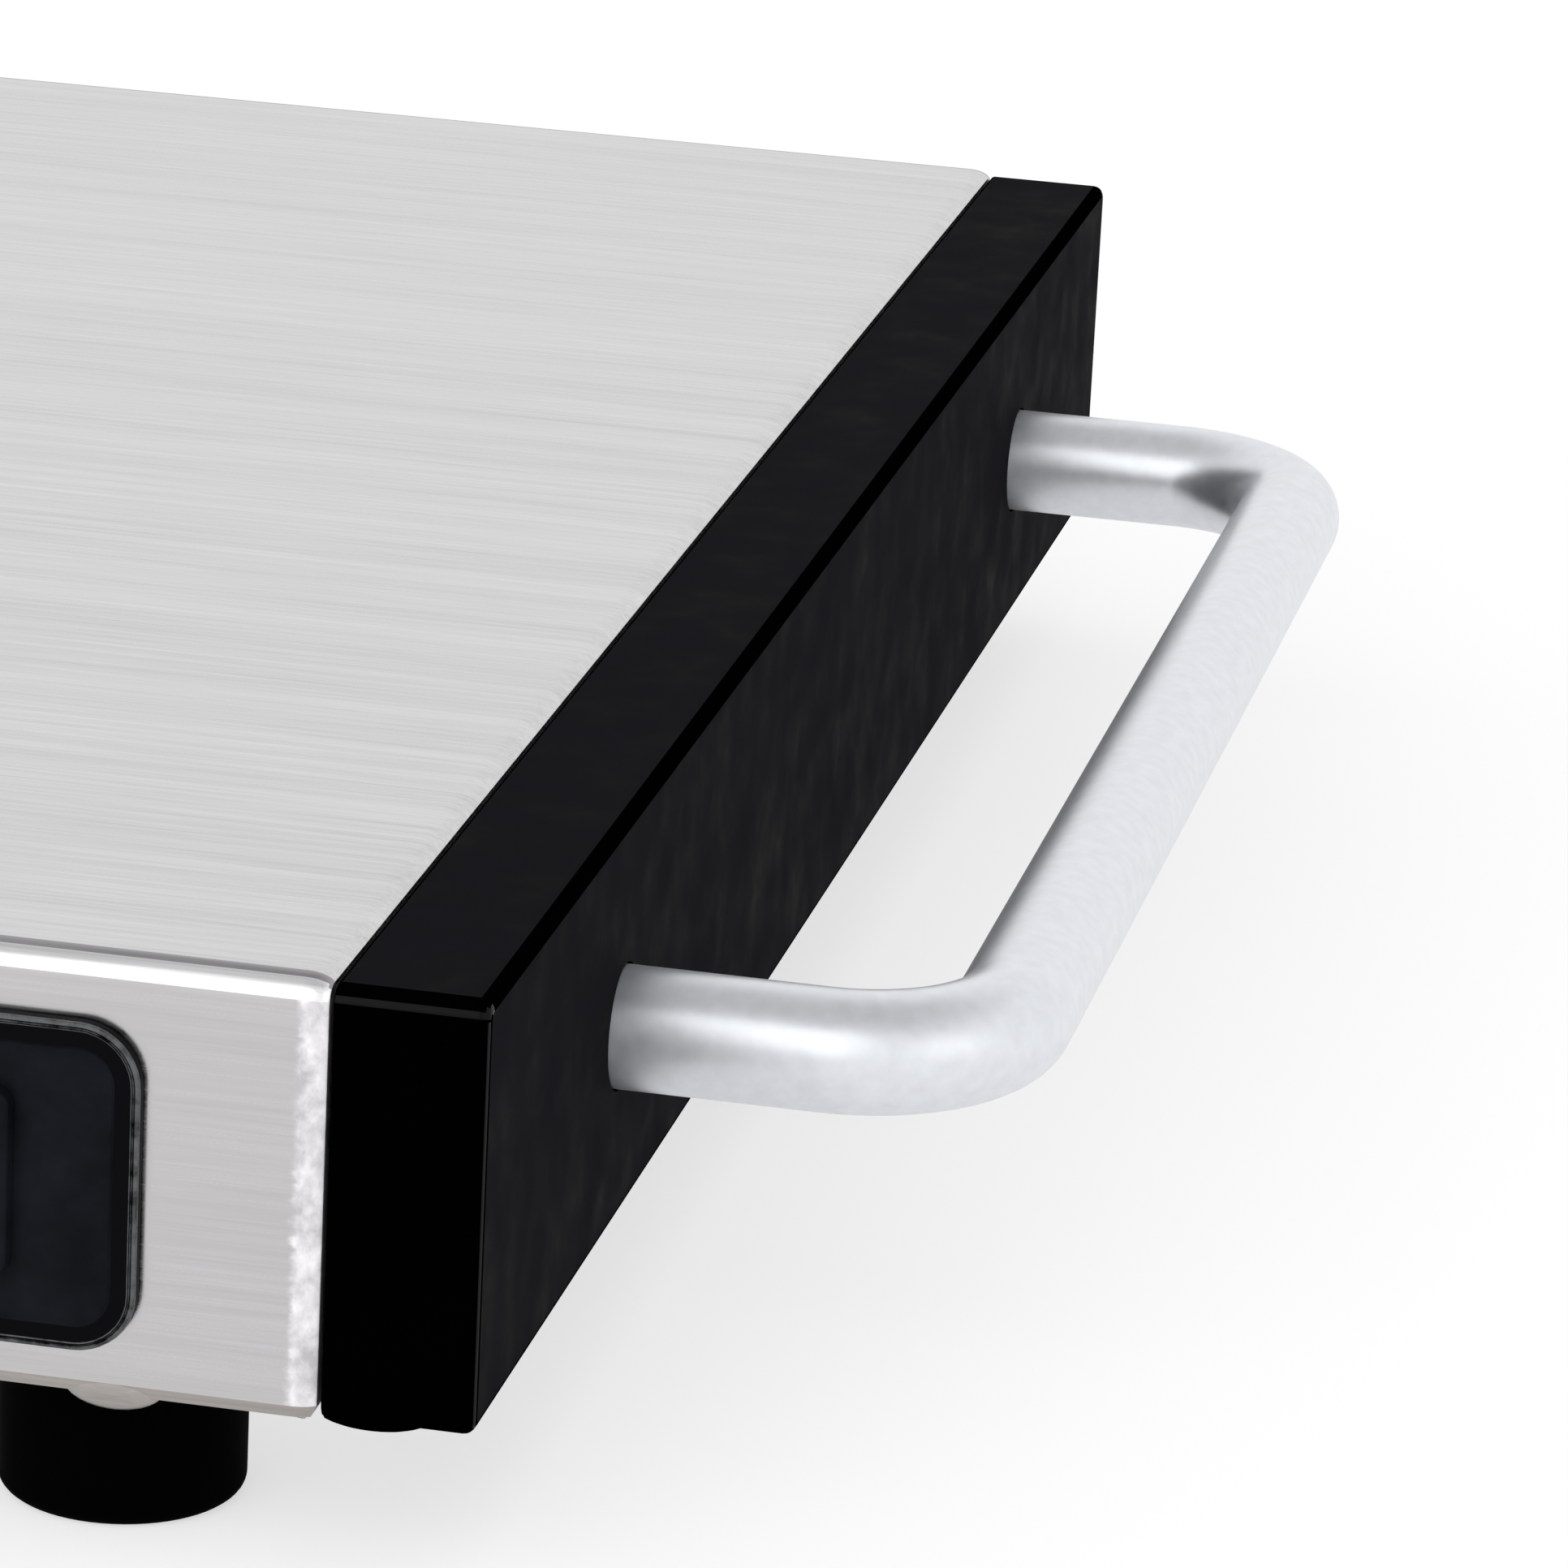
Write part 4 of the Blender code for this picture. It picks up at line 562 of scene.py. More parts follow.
# %% [markdown]
# ## The stainless cover
# The real cover is one sheet, folded down over a former and turned in at the bottom. Its long top edges have a
# 3 mm bend. At the two ends, beside the black caps, the sheet rolls over in a wide shallow curve that catches
# the light, and the white stripe there is a painted highlight. Below, a narrow strip leans inwards before the
# lip runs under the tray.
# A box is bevelled along its length, then round both ends. The end rounding is stretched along X to make it
# wide and shallow, and the strip at the bottom is stretched upwards. Then the lip is inset, and the sheet gets
# its thickness inwards. The openings for the switch, the shaft, the lamp and the inlet are cut through it.

# %% Model the cover
SHEET = 0.0006
COVER_BEND = 0.0030
END_ROLL = 0.0013
END_ROLL_WIDTH = 0.0030
STRIP_DEPTH = 0.0008
STRIP_HEIGHT = 0.0015
LIP_WIDTH = 0.0110
SWITCH_BODY = Vector((0.0128, 0, 0.0184))
INLET_BODY = Vector((0.0274, 0, 0.0196))
OPENING_FIT = 0.0003
SHAFT_HOLE_RADIUS = 0.0049
LAMP_HOLE_RADIUS = 0.0038

cover_low, cover_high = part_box("top_cover")


def stretch_end(bm, edge_x, zone, factor):
    """Move the vertices near an end plane across X, so that a rounding there grows along X."""
    side = 1 if edge_x > 0 else -1
    for vert in bm.verts:
        away = (edge_x - vert.co.x) * side
        if away < zone + CLOSE:
            vert.co.x = edge_x - side * away * factor


def cut_cover_openings(bm):
    """Cut the openings of the switch, the inlet, the shaft and the lamp."""
    tool = bmesh.new()
    for node, body_size in (("rocker_housing", SWITCH_BODY), ("power_inlet", INLET_BODY)):
        low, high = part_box(node)
        centred_block(tool, middle_of(low, high), body_size, low.y, high.y, OPENING_FIT)
    for node, radius in (("thermostat_shaft", SHAFT_HOLE_RADIUS), ("pilot_lens", LAMP_HOLE_RADIUS)):
        low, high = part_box(node)
        start = ((low.x + high.x) / 2, low.y, (low.z + high.z) / 2)
        cylinder(tool, start, (0, 1, 0), radius, high.y - low.y)
    return combine(bm, tool)


def make_cover():
    """The folded sheet and its lip."""
    bm = bmesh.new()
    block(bm, cover_low, cover_high)
    round_off(bm, edges_along(bm, 0, edges_at(bm, 2, cover_high.z)), COVER_BEND, 7)
    for end_x in (cover_low.x, cover_high.x):
        foot = edges_at(bm, 2, cover_low.z)
        round_off(bm, [edge for edge in edges_at(bm, 0, end_x) if edge not in foot], END_ROLL, 6)
    for end_x in (cover_low.x, cover_high.x):
        stretch_end(bm, end_x, END_ROLL, END_ROLL_WIDTH / END_ROLL)
    round_off(bm, edges_at(bm, 2, cover_low.z), STRIP_DEPTH, 1)
    for vert in bm.verts:
        if CLOSE < vert.co.z - cover_low.z < STRIP_DEPTH + CLOSE:
            vert.co.z = cover_low.z + STRIP_HEIGHT
    under = min(bm.faces, key=lambda face: face.calc_center_median().z)
    bmesh.ops.inset_individual(bm, faces=[under], thickness=LIP_WIDTH - STRIP_DEPTH, use_even_offset=True)
    bmesh.ops.delete(bm, geom=[under], context="FACES")
    bmesh.ops.recalc_face_normals(bm, faces=bm.faces)
    bmesh.ops.solidify(bm, geom=bm.faces[:], thickness=SHEET)
    return cut_cover_openings(bm)


cover_bm = make_cover()
print("cover heights", min(v.co.z for v in cover_bm.verts), max(v.co.z for v in cover_bm.verts))

# %% [markdown]
# Each face of the cover takes the steel of its direction, and with it its painted light or shade. The tilt
# towards the front or the rear tells the bend's half with a painted highlight from its start with painted
# shade, and the low strip goes with the lip and its painted shade.

# %% Give each face its steel
COVER_SHARP = math.radians(22)
UPRIGHT_LIMIT = 0.12
BEND_TILT = 0.45
SHADE_TILT = 0.05
TOP, FRONT, LIP, BEND, SHADE = range(5)

# The front steel gets the painted highlight of the corner roll.
frost_ends(STEEL_FRONT_PAINTED_LIGHT, cover_high.x - END_ROLL_WIDTH)
cover_bm.normal_update()
for face in cover_bm.faces:
    tilt = abs(face.normal.y)
    if face.calc_center_median().z < cover_low.z + STRIP_HEIGHT:
        face.material_index = LIP
    elif abs(face.normal.z) < UPRIGHT_LIMIT:
        face.material_index = FRONT
    else:
        face.material_index = BEND if tilt > BEND_TILT else SHADE if tilt > SHADE_TILT else TOP
piece("stainless_cover", cover_bm, "tray", "brushed_steel", STEEL, "top_cover",
      extra=[STEEL_FRONT_PAINTED_LIGHT, STEEL_LIP_PAINTED_SHADE, STEEL_BEND_PAINTED_HIGHLIGHT, STEEL_BEND_PAINTED_SHADE], sharp=COVER_SHARP)

# %% [markdown]
# Beside each foot the lip carries a stamped boss that hangs a little below the sheet. It is a flattened dome,
# so a sphere squeezed to its three half sizes is the whole shape.

# %% Bosses in the lip
BOSS_X = 0.2408
BOSS_HALF = Vector((0.0056, 0.0018, 0.0029))
BOSS_INSET = 0.0018
BOSS_LIFT = 0.0009
SIDES = (("right", 1), ("left", -1))


def dome(half, place):
    """A sphere squeezed to three half sizes, at a place."""
    bm = bmesh.new()
    bmesh.ops.create_uvsphere(bm, u_segments=32, v_segments=16, radius=1)
    bmesh.ops.scale(bm, vec=half, verts=bm.verts)
    move(bm, place)
    return bm


def ends(low, high):
    """The front and the rear end of a box: name, place along Y, and the direction inwards."""
    return (("front", low.y, 1), ("rear", high.y, -1))


for side_name, side in SIDES:
    for end_name, end_y, inward in ends(cover_low, cover_high):
        boss = dome(BOSS_HALF, (side * BOSS_X, end_y + inward * BOSS_INSET, cover_low.z + BOSS_LIFT))
        # The boss takes the lip's steel, darkened with painted shade.
        piece(f"lip_boss_{side_name}_{end_name}", boss, "tray", "brushed_steel", STEEL_LIP_PAINTED_SHADE)

# %% [markdown]
# ## End caps
# Each cap is a hollow black moulding with rounded outer edges, and a larger rounding on the top edges of its
# two ends. The outer face has a shallow round seat for each end of the handle. A box is bevelled and the seats
# are cut while it is still solid. Then its inner face is inset and pushed in to make it hollow. The roundings,
# the seats and the flat front and rear ends take a darker black that is painted shade, apart from one narrow
# polished strip on the roundings at each end, which draws the fine light line. Below each end hangs a bead, in
# the same painted shade. It is a squeezed sphere, cut flat where the cap meets the cover.

# %% Model the end caps
CAP_EDGE = 0.0014
CAP_END_ROUND = 0.0021
CAP_INNER_EDGE = 0.0004
CAP_WALL = 0.0025
TUBE_RADIUS = 0.0070
TUBE_SEAT_FIT = 0.0003
TUBE_RECESS = 0.0015
FLAT = 0.999
TOP_STRIP = (0.1, 0.55)
SIDE_STRIP = (0.8, 0.95)
GRAINED, PAINTED_SHADE, POLISHED = range(3)


def leg_places(side_name):
    """The two places where a handle's legs meet the cap: y of the front and of the rear leg, and z."""
    low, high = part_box(f"handle_{side_name}")
    return (low.y + TUBE_RADIUS, high.y - TUBE_RADIUS), (low.z + high.z) / 2


def shape_cap(side_name, side, low, high, inner_x, outer_x):
    """The hollow moulding and its seats."""
    bm = bmesh.new()
    block(bm, low, high)
    round_off(bm, edges_along(bm, 0, edges_at(bm, 2, high.z)), CAP_END_ROUND, 8)
    lower = edges_along(bm, 0, edges_at(bm, 2, low.z))
    round_off(bm, lower + edges_at(bm, 0, outer_x), CAP_EDGE, 5)
    round_off(bm, edges_at(bm, 0, inner_x), CAP_INNER_EDGE, 2)
    tool = bmesh.new()
    leg_ys, leg_z = leg_places(side_name)
    for leg_y in leg_ys:
        start = (outer_x - side * TUBE_RECESS, leg_y, leg_z)
        cylinder(tool, start, (side, 0, 0), TUBE_RADIUS + TUBE_SEAT_FIT, TUBE_RECESS * 2, 64)
    bm = combine(bm, tool)
    mouth = max(bm.faces, key=lambda face: -side * face.calc_center_median().x)
    bmesh.ops.inset_individual(bm, faces=[mouth], thickness=CAP_WALL)
    deep = bmesh.ops.extrude_discrete_faces(bm, faces=[mouth])["faces"]
    depth = high.x - low.x - CAP_WALL
    bmesh.ops.translate(bm, verts=deep[0].verts[:], vec=(side * depth, 0, 0))
    return bm


def make_cap(side_name, side):
    """One end cap, with the finish of each face."""
    low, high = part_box(f"end_cap_{side_name}")
    inner_x, outer_x = (low.x, high.x) if side > 0 else (high.x, low.x)
    bm = shape_cap(side_name, side, low, high, inner_x, outer_x)
    bm.normal_update()
    for face in bm.faces:
        across, along, up = (abs(part) for part in face.normal)
        flat = max(across, along, up) > FLAT
        middle = face.calc_center_median()
        at_end = min(middle.y - low.y, high.y - middle.y) < CAP_END_ROUND
        on_top = middle.z > high.z - CAP_END_ROUND
        lean, (least, most) = (up, TOP_STRIP) if on_top else (across, SIDE_STRIP)
        # Curved faces and the front and rear ends take the black with painted shade, apart from the polished
        # strip.
        if at_end and not flat and least < lean < most:
            face.material_index = POLISHED
        else:
            face.material_index = GRAINED if flat and along < FLAT else PAINTED_SHADE
    piece(f"cap_{side_name}", bm, "tray", "black_plastic", BLACK, f"end_cap_{side_name}",
          extra=[BLACK_PAINTED_SHADE, BLACK_EDGE])
    return low, high, inner_x


# %% Beads below the caps
BEAD_HALF = Vector((0.0070, 0.0030, 0.0025))
BEAD_INSET = 0.0050
BEAD_LIFT = 0.0010
BEAD_START = 0.0001


def fill_holes(bm):
    """Close every open rim with a face."""
    bmesh.ops.holes_fill(bm, edges=[edge for edge in bm.edges if edge.is_boundary])


def make_beads(side_name, side, low, high, inner_x):
    """The bead below each end of a cap."""
    for end_name, end_y, inward in ends(low, high):
        place = (inner_x + side * BEAD_INSET, end_y + inward * BEAD_HALF.y, low.z + BEAD_LIFT)
        bead = dome(BEAD_HALF, place)
        whole = bead.verts[:] + bead.edges[:] + bead.faces[:]
        bmesh.ops.bisect_plane(bead, geom=whole, plane_co=(inner_x + side * BEAD_START, 0, 0),
                               plane_no=(-side, 0, 0), clear_outer=True)
        fill_holes(bead)
        # The bead takes the black with painted shade.
        piece(f"cap_bead_{side_name}_{end_name}", bead, "tray", "black_plastic", BLACK_PAINTED_SHADE)


for side_name, side in SIDES:
    make_beads(side_name, side, *make_cap(side_name, side))

# %% [markdown]
# ## Tube handles
# The handle is one aluminium tube, bent twice. A circle is pulled out along the first leg, spun through a
# quarter turn for each bend, and pulled on between them: the same path as on a tube bender.

# %% Model the handles
TUBE_BEND = 0.0180
TUBE_SIDES = 40
BEND_STEPS = 20
QUARTER = math.pi / 2


def pull(bm, ring, vec):
    """Pull an open ring of edges along a vector, and give back the new ring."""
    made = bmesh.ops.extrude_edge_only(bm, edges=ring)["geom"]
    verts = [part for part in made if isinstance(part, bmesh.types.BMVert)]
    bmesh.ops.translate(bm, verts=verts, vec=vec)
    return [part for part in made
            if isinstance(part, bmesh.types.BMEdge) and all(vert in verts for vert in part.verts)]


def bend(bm, ring, centre, angle):
    """Spin an open ring of edges about an upright axis, and give back the last ring."""
    verts = list({vert for edge in ring for vert in edge.verts})
    made = bmesh.ops.spin(bm, geom=verts + ring, cent=centre, axis=(0, 0, 1), angle=angle, steps=BEND_STEPS)
    return [part for part in made["geom_last"] if isinstance(part, bmesh.types.BMEdge)]


def make_handle(side_name, side):
    """One handle, from its front leg round to its rear leg."""
    low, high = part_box(f"handle_{side_name}")
    (front_y, rear_y), z = leg_places(side_name)
    start_x, bar_x = (low.x, high.x - TUBE_RADIUS) if side > 0 else (high.x, low.x + TUBE_RADIUS)
    bm = bmesh.new()
    bmesh.ops.create_circle(bm, cap_ends=False, segments=TUBE_SIDES, radius=TUBE_RADIUS)
    turn(bm, QUARTER, "Y")
    move(bm, (start_x, front_y, z))
    straight = Vector((bar_x - start_x - side * TUBE_BEND, 0, 0))
    ring = pull(bm, bm.edges[:], straight)
    corner_x = bar_x - side * TUBE_BEND
    ring = bend(bm, ring, (corner_x, front_y + TUBE_BEND, z), side * QUARTER)
    ring = pull(bm, ring, (0, rear_y - front_y - TUBE_BEND * 2, 0))
    ring = bend(bm, ring, (corner_x, rear_y - TUBE_BEND, z), side * QUARTER)
    pull(bm, ring, -straight)
    bmesh.ops.remove_doubles(bm, verts=bm.verts, dist=MERGE)
    fill_holes(bm)
    piece(f"tube_handle_{side_name}", bm, "tray", "satin_aluminium", ALUMINIUM, f"handle_{side_name}")


for side_name, side in SIDES:
    make_handle(side_name, side)

# %% [markdown]
# ## Rubber feet
# A foot is a turned rubber cylinder with a rounded rim and a deep recess that hides its screw. The profile is
# drawn as a few points from the rim to the recess and spun once round.

# %% Model the feet
FOOT_RIM = 0.0018
FOOT_SOFT = FOOT_RIM / 3
FOOT_RECESS_RADIUS = 0.0060
FOOT_RECESS_DEPTH = 0.0080
FOOT_HOLE_RADIUS = 0.0022
ARC_STEPS = 6
CORNERS = [(side, end) for side in ("right", "left") for end in ("front", "rear")]
ALONG_Y, ALONG_Z = 1, 2


def arc(centre_r, centre_h, radius, start, end):
    """Points of a round edge, as radius and height, between two angles in degrees."""
    angles = [math.radians(start + (end - start) * step / ARC_STEPS) for step in range(ARC_STEPS + 1)]
    return [(centre_r + radius * math.cos(angle), centre_h + radius * math.sin(angle)) for angle in angles]


def turned(profile, centre, along, steps=64):
    """Spin a profile, a list of radius and place along Y or Z, about a centre line into a closed body."""
    bm = bmesh.new()
    verts = []
    for radius, height in profile:
        point = [centre.x + radius, centre.y, centre.z]
        point[along] = height
        verts.append(bm.verts.new(point))
    edges = [bm.edges.new(pair) for pair in zip(verts, verts[1:])]
    axis = [float(part == along) for part in range(3)]
    on_axis = [0 if part == along else centre[part] for part in range(3)]
    bmesh.ops.spin(bm, geom=verts + edges, cent=on_axis, axis=axis, angle=math.tau, steps=steps,
                   use_merge=True)
    bmesh.ops.remove_doubles(bm, verts=bm.verts, dist=MERGE)
    return bm


def foot_profile(low, high):
    """Points from the hole round the rim to the recess and back."""
    radius, recess_z = (high.x - low.x) / 2, low.z + FOOT_RECESS_DEPTH
    points = [(FOOT_HOLE_RADIUS, high.z), (radius - FOOT_SOFT, high.z), (radius, high.z - FOOT_SOFT)]
    points += arc(radius - FOOT_RIM, low.z + FOOT_RIM, FOOT_RIM, 0, -90)
    points += arc(FOOT_RECESS_RADIUS + FOOT_SOFT, low.z + FOOT_SOFT, FOOT_SOFT, -90, -180)
    points += [(FOOT_RECESS_RADIUS, recess_z), (FOOT_HOLE_RADIUS, recess_z)]
    return points + points[:1]


for side_name, end_name in CORNERS:
    low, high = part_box(f"foot_{side_name}_{end_name}")
    foot = turned(foot_profile(low, high), middle_of(low, high), ALONG_Z)
    piece(f"rubber_foot_{side_name}_{end_name}", foot, "tray", "black_rubber", RUBBER,
          f"foot_{side_name}_{end_name}")

# %% [markdown]
# ## The control panel
# The panel is a black moulding with round corners, a raised rim and a flat floor a little lower. A box gets its
# four corners rounded, and a chamfer along its front edge. Then the front face is inset in steps, each
# with its own depth: a fine groove, a fine bead, the flat rim and the slope down to the floor. Last, the
# openings for the switch, the shaft and the lamp are cut.

# %% Model the panel
PANEL_CORNER = 0.0068
PANEL_EDGE = 0.00046
PANEL_RECESS = 0.0005
GROOVE_STEPS = [(0.00008, -0.00020), (0.00010, 0.0)]
BEAD_STEPS = [(0.00010, 0.00018), (0.00012, 0.0), (0.00012, -0.00010)]
RIM_STEPS = [(0.00175, 0.0), (0.00040, -0.00038)]
FORWARD_LIMIT = -0.99
REACH = 0.01

panel_low, panel_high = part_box("control_panel")
FLOOR_Y = panel_low.y + PANEL_RECESS
KNOB_CENTRE = middle_of(*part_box("thermostat_shaft"))
lens_low, lens_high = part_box("pilot_lens")
LENS_CENTRE = middle_of(lens_low, lens_high)
bezel_low, bezel_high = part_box("rocker_housing")
BEZEL_CENTRE = middle_of(bezel_low, bezel_high)


def front_face(bm):
    """The largest face that looks to the front."""
    faces = [face for face in bm.faces if face.normal.y < FORWARD_LIMIT]
    return max(faces, key=lambda face: face.calc_area())


def make_panel():
    """The panel with its rim, floor and openings."""
    bm = bmesh.new()
    block(bm, panel_low, panel_high)
    round_off(bm, edges_along(bm, 1), PANEL_CORNER, 10)
    round_off(bm, edges_at(bm, 1, panel_low.y), PANEL_EDGE, 2)
    bm.normal_update()
    face = front_face(bm)
    for across, outwards in GROOVE_STEPS + BEAD_STEPS + RIM_STEPS:
        bmesh.ops.inset_individual(bm, faces=[face], thickness=across, depth=outwards)
    tool = bmesh.new()
    for centre, radius in ((KNOB_CENTRE, SHAFT_HOLE_RADIUS), (LENS_CENTRE, LAMP_HOLE_RADIUS)):
        cylinder(tool, (centre.x, panel_high.y + REACH, centre.z), (0, -1, 0), radius, REACH * 3)
    centred_block(tool, BEZEL_CENTRE, SWITCH_BODY, panel_low.y - REACH, panel_high.y + REACH, OPENING_FIT)
    return combine(bm, tool)


panel_bm = make_panel()

# %% [markdown]
# The chamfer and the bead carry a light broken line that is a painted highlight, and the flat rim is darker
# than the floor. So each face is asked how far it lies inside the rounded outline, and takes the finish of that
# band.

# %% Give each face of the panel its black or its painted highlight
HIGHLIGHT_WIDTH = 0.0013
RIM_WIDTH = 0.0028
TILTED = -0.05
FLOOR, HIGHLIGHT, RIM = range(3)

panel_bm.normal_update()
panel_middle = middle_of(panel_low, panel_high)
corner_start = (panel_high - panel_low) / 2 - Vector((PANEL_CORNER, 0, PANEL_CORNER))
for face in panel_bm.faces:
    away = face.calc_center_median() - panel_middle
    past_x, past_z = abs(away.x) - corner_start.x, abs(away.z) - corner_start.z
    out = math.hypot(max(past_x, 0), max(past_z, 0)) + min(max(past_x, past_z), 0)
    inset = PANEL_CORNER - out
    # Tilted faces near the outline take the painted highlight, and the other faces near it take the darker rim.
    if -FLAT < face.normal.y < TILTED:
        face.material_index = HIGHLIGHT if inset < HIGHLIGHT_WIDTH else FLOOR
    else:
        face.material_index = RIM if inset < RIM_WIDTH else FLOOR
piece("front_panel", panel_bm, "tray", "panel_plastic", PANEL_BLACK, "control_panel",
      extra=[PANEL_PAINTED_HIGHLIGHT, PANEL_RIM])

# %% [markdown]
# ## The rocker switch
# The switch is a housing with a slim bezel that lies on the panel, and a rocker that tips in it. The housing
# is a rounded box, joined to the deep body behind it and cut out for the pocket.

# %% Model the switch housing
BEZEL_DEPTH = 0.0020
BEZEL_CORNER = 0.0016
BEZEL_EDGE = 0.0007
POCKET = Vector((0.0100, 0.0075, 0.0166))
POCKET_LIP = 0.00025


def soften_mouth(bm, mouth_y, centre, size):
    """Round the rim of an opening in a face across Y."""
    rim = edges_where(bm, lambda co: abs(co.y - mouth_y) < CLOSE
                      and abs(co.x - centre.x) < size.x / 2 + CLOSE
                      and abs(co.z - centre.z) < size.z / 2 + CLOSE)
    round_off(bm, rim, POCKET_LIP, 2)


def make_housing():
    """The bezel, the body behind it, and the pocket for the rocker."""
    bm, body, pocket = bmesh.new(), bmesh.new(), bmesh.new()
    block(bm, bezel_low, (bezel_high.x, bezel_low.y + BEZEL_DEPTH, bezel_high.z))
    round_off(bm, edges_along(bm, 1), BEZEL_CORNER, 6)
    round_off(bm, edges_at(bm, 1, bezel_low.y), BEZEL_EDGE, 4)
    centred_block(body, BEZEL_CENTRE, SWITCH_BODY, bezel_low.y + BEZEL_DEPTH / 2, bezel_high.y)
    bm = combine(bm, body, "UNION")
    centred_block(pocket, BEZEL_CENTRE, POCKET, bezel_low.y - POCKET.y, bezel_low.y + POCKET.y)
    bm = combine(bm, pocket)
    soften_mouth(bm, bezel_low.y, BEZEL_CENTRE, POCKET)
    return bm


piece("switch_housing", make_housing(), "tray", "black_plastic", PANEL_BLACK, "rocker_housing")

# %% [markdown]
# The rocker's side outline is drawn once, with a dished front, and extruded across. It is drawn about its
# pivot, and at rest it is tipped to OFF, with the half that carries the O pressed in.

# %% Model the rocker
ROCKER_HALF_X = 0.0047
ROCKER_HALF_Z = 0.0079
ROCKER_MIDDLE = -0.0008
ROCKER_DISH = 0.0008
ROCKER_STEPS = 10
ROCKER_ROUND = 0.0004
ROCKER_TILT = math.radians(8)
ROCKER_BACK = [(0, 1.0), (0.0016, 0.25), (0.0034, 0.25), (0.0034, -0.25), (0.0016, -0.25), (0, -1.0)]
ROCKER_PIVOT = Vector(next(joint for joint in frame["joints"] if joint["name"] == "rocker_tilt")["pos_m"])


def rocker_front(share):
    """How far forward the dished front stands, at a share of the half height."""
    return ROCKER_MIDDLE - ROCKER_DISH * share ** 2


def seat_on_pivot(bm):
    """Tip a shape drawn about the pivot to its rest angle, and move it there."""
    turn(bm, ROCKER_TILT, "X")
    move(bm, ROCKER_PIVOT)
    return bm


def make_rocker():
    """The rocker, extruded from its side outline."""
    bm = bmesh.new()
    shares = [step / ROCKER_STEPS for step in range(-ROCKER_STEPS, ROCKER_STEPS + 1)]
    outline = [(rocker_front(share), share) for share in shares] + ROCKER_BACK
    side = bm.faces.new([bm.verts.new((-ROCKER_HALF_X, y, share * ROCKER_HALF_Z)) for y, share in outline])
    made = bmesh.ops.extrude_face_region(bm, geom=[side])["geom"]
    moved = [part for part in made if isinstance(part, bmesh.types.BMVert)]
    bmesh.ops.translate(bm, verts=moved, vec=(ROCKER_HALF_X * 2, 0, 0))
    bmesh.ops.recalc_face_normals(bm, faces=bm.faces)
    rim = [edge for edge in edges_where(bm, lambda co: co.y < ROCKER_MIDDLE + CLOSE)
           if abs(edge.verts[0].co.x - edge.verts[1].co.x) < CLOSE
           or abs(abs(edge.verts[0].co.z) - ROCKER_HALF_Z) < CLOSE]
    round_off(bm, rim, ROCKER_ROUND, 3)
    return seat_on_pivot(bm)


piece("rocker", make_rocker(), "rocker", "black_plastic", CONTROL_BLACK, "rocker_button")

# %% [markdown]
# The I and the O are printed, so they are only a hair thick. Each is laid on the slope that the dished front
# has at its place, and then goes to the pivot with the rocker.

# %% Print the rocker's marks
MARK_PLACE = 0.0045
MARK_BAR = (0.00032, 0.0014)
MARK_RING = (0.0015, 0.0010)
INK = 0.00006


def add_shape(bm, other, turn_by=Matrix()):
    """Put another bmesh into this one, turned or moved by a matrix."""
    mesh = bpy.data.meshes.new("part")
    other.to_mesh(mesh)
    other.free()
    mesh.transform(turn_by)
    bm.from_mesh(mesh)
    bpy.data.meshes.remove(mesh)


def make_rocker_marks():
    """The printed I and O, each lying on the dished front."""
    bm = bmesh.new()
    slope = math.atan(2 * ROCKER_DISH * MARK_PLACE / ROCKER_HALF_Z ** 2)
    (bar_x, bar_z), (ring_outer, ring_inner) = MARK_BAR, MARK_RING
    for side in (1, -1):
        mark = bmesh.new()
        if side > 0:
            block(mark, (-bar_x, -INK, -bar_z), (bar_x, INK, bar_z))
        else:
            cylinder(mark, (0, INK, 0), (0, -1, 0), ring_outer, INK * 2, 32)
            middle = bmesh.new()
            cylinder(middle, (0, INK * 2, 0), (0, -1, 0), ring_inner, INK * 4, 32)
            mark = combine(mark, middle)
        turn(mark, side * slope, "X")
        move(mark, (0, rocker_front(MARK_PLACE / ROCKER_HALF_Z), side * MARK_PLACE))
        add_shape(bm, mark)
    return seat_on_pivot(bm)


piece("rocker_marks", make_rocker_marks(), "rocker", "black_plastic", WHITE_INK)

# %% [markdown]
# ## The heat knob
# The knob has a skirt, a fluted grip and a raised pointer with a white line. Its outline is spun round the
# shaft, and the grip's flutes come from pressing the round side in by a cosine of the angle, which the spin
# alone can't give. At rest the pointer is at 0, low on the left, and the joint turns it clockwise.

# %% Model the knob
SKIRT_HEIGHT = 0.0030
GRIP_RADIUS = 0.0095
KNOB_SOFT = 0.0008
KNOB_HOLLOW = (0.0080, 0.0050)
KNOB_SOCKET = (0.0031, 0.0115)
KNOB_STEPS = 160
FLUTES = 20
FLUTE_DEPTH = 0.00045
POINTER_REACH = 0.0079
POINTER_PROUD = 0.00055

turning_low, turning_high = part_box("thermostat_knob")
KNOB_DEPTH = turning_high.y - turning_low.y - POINTER_PROUD


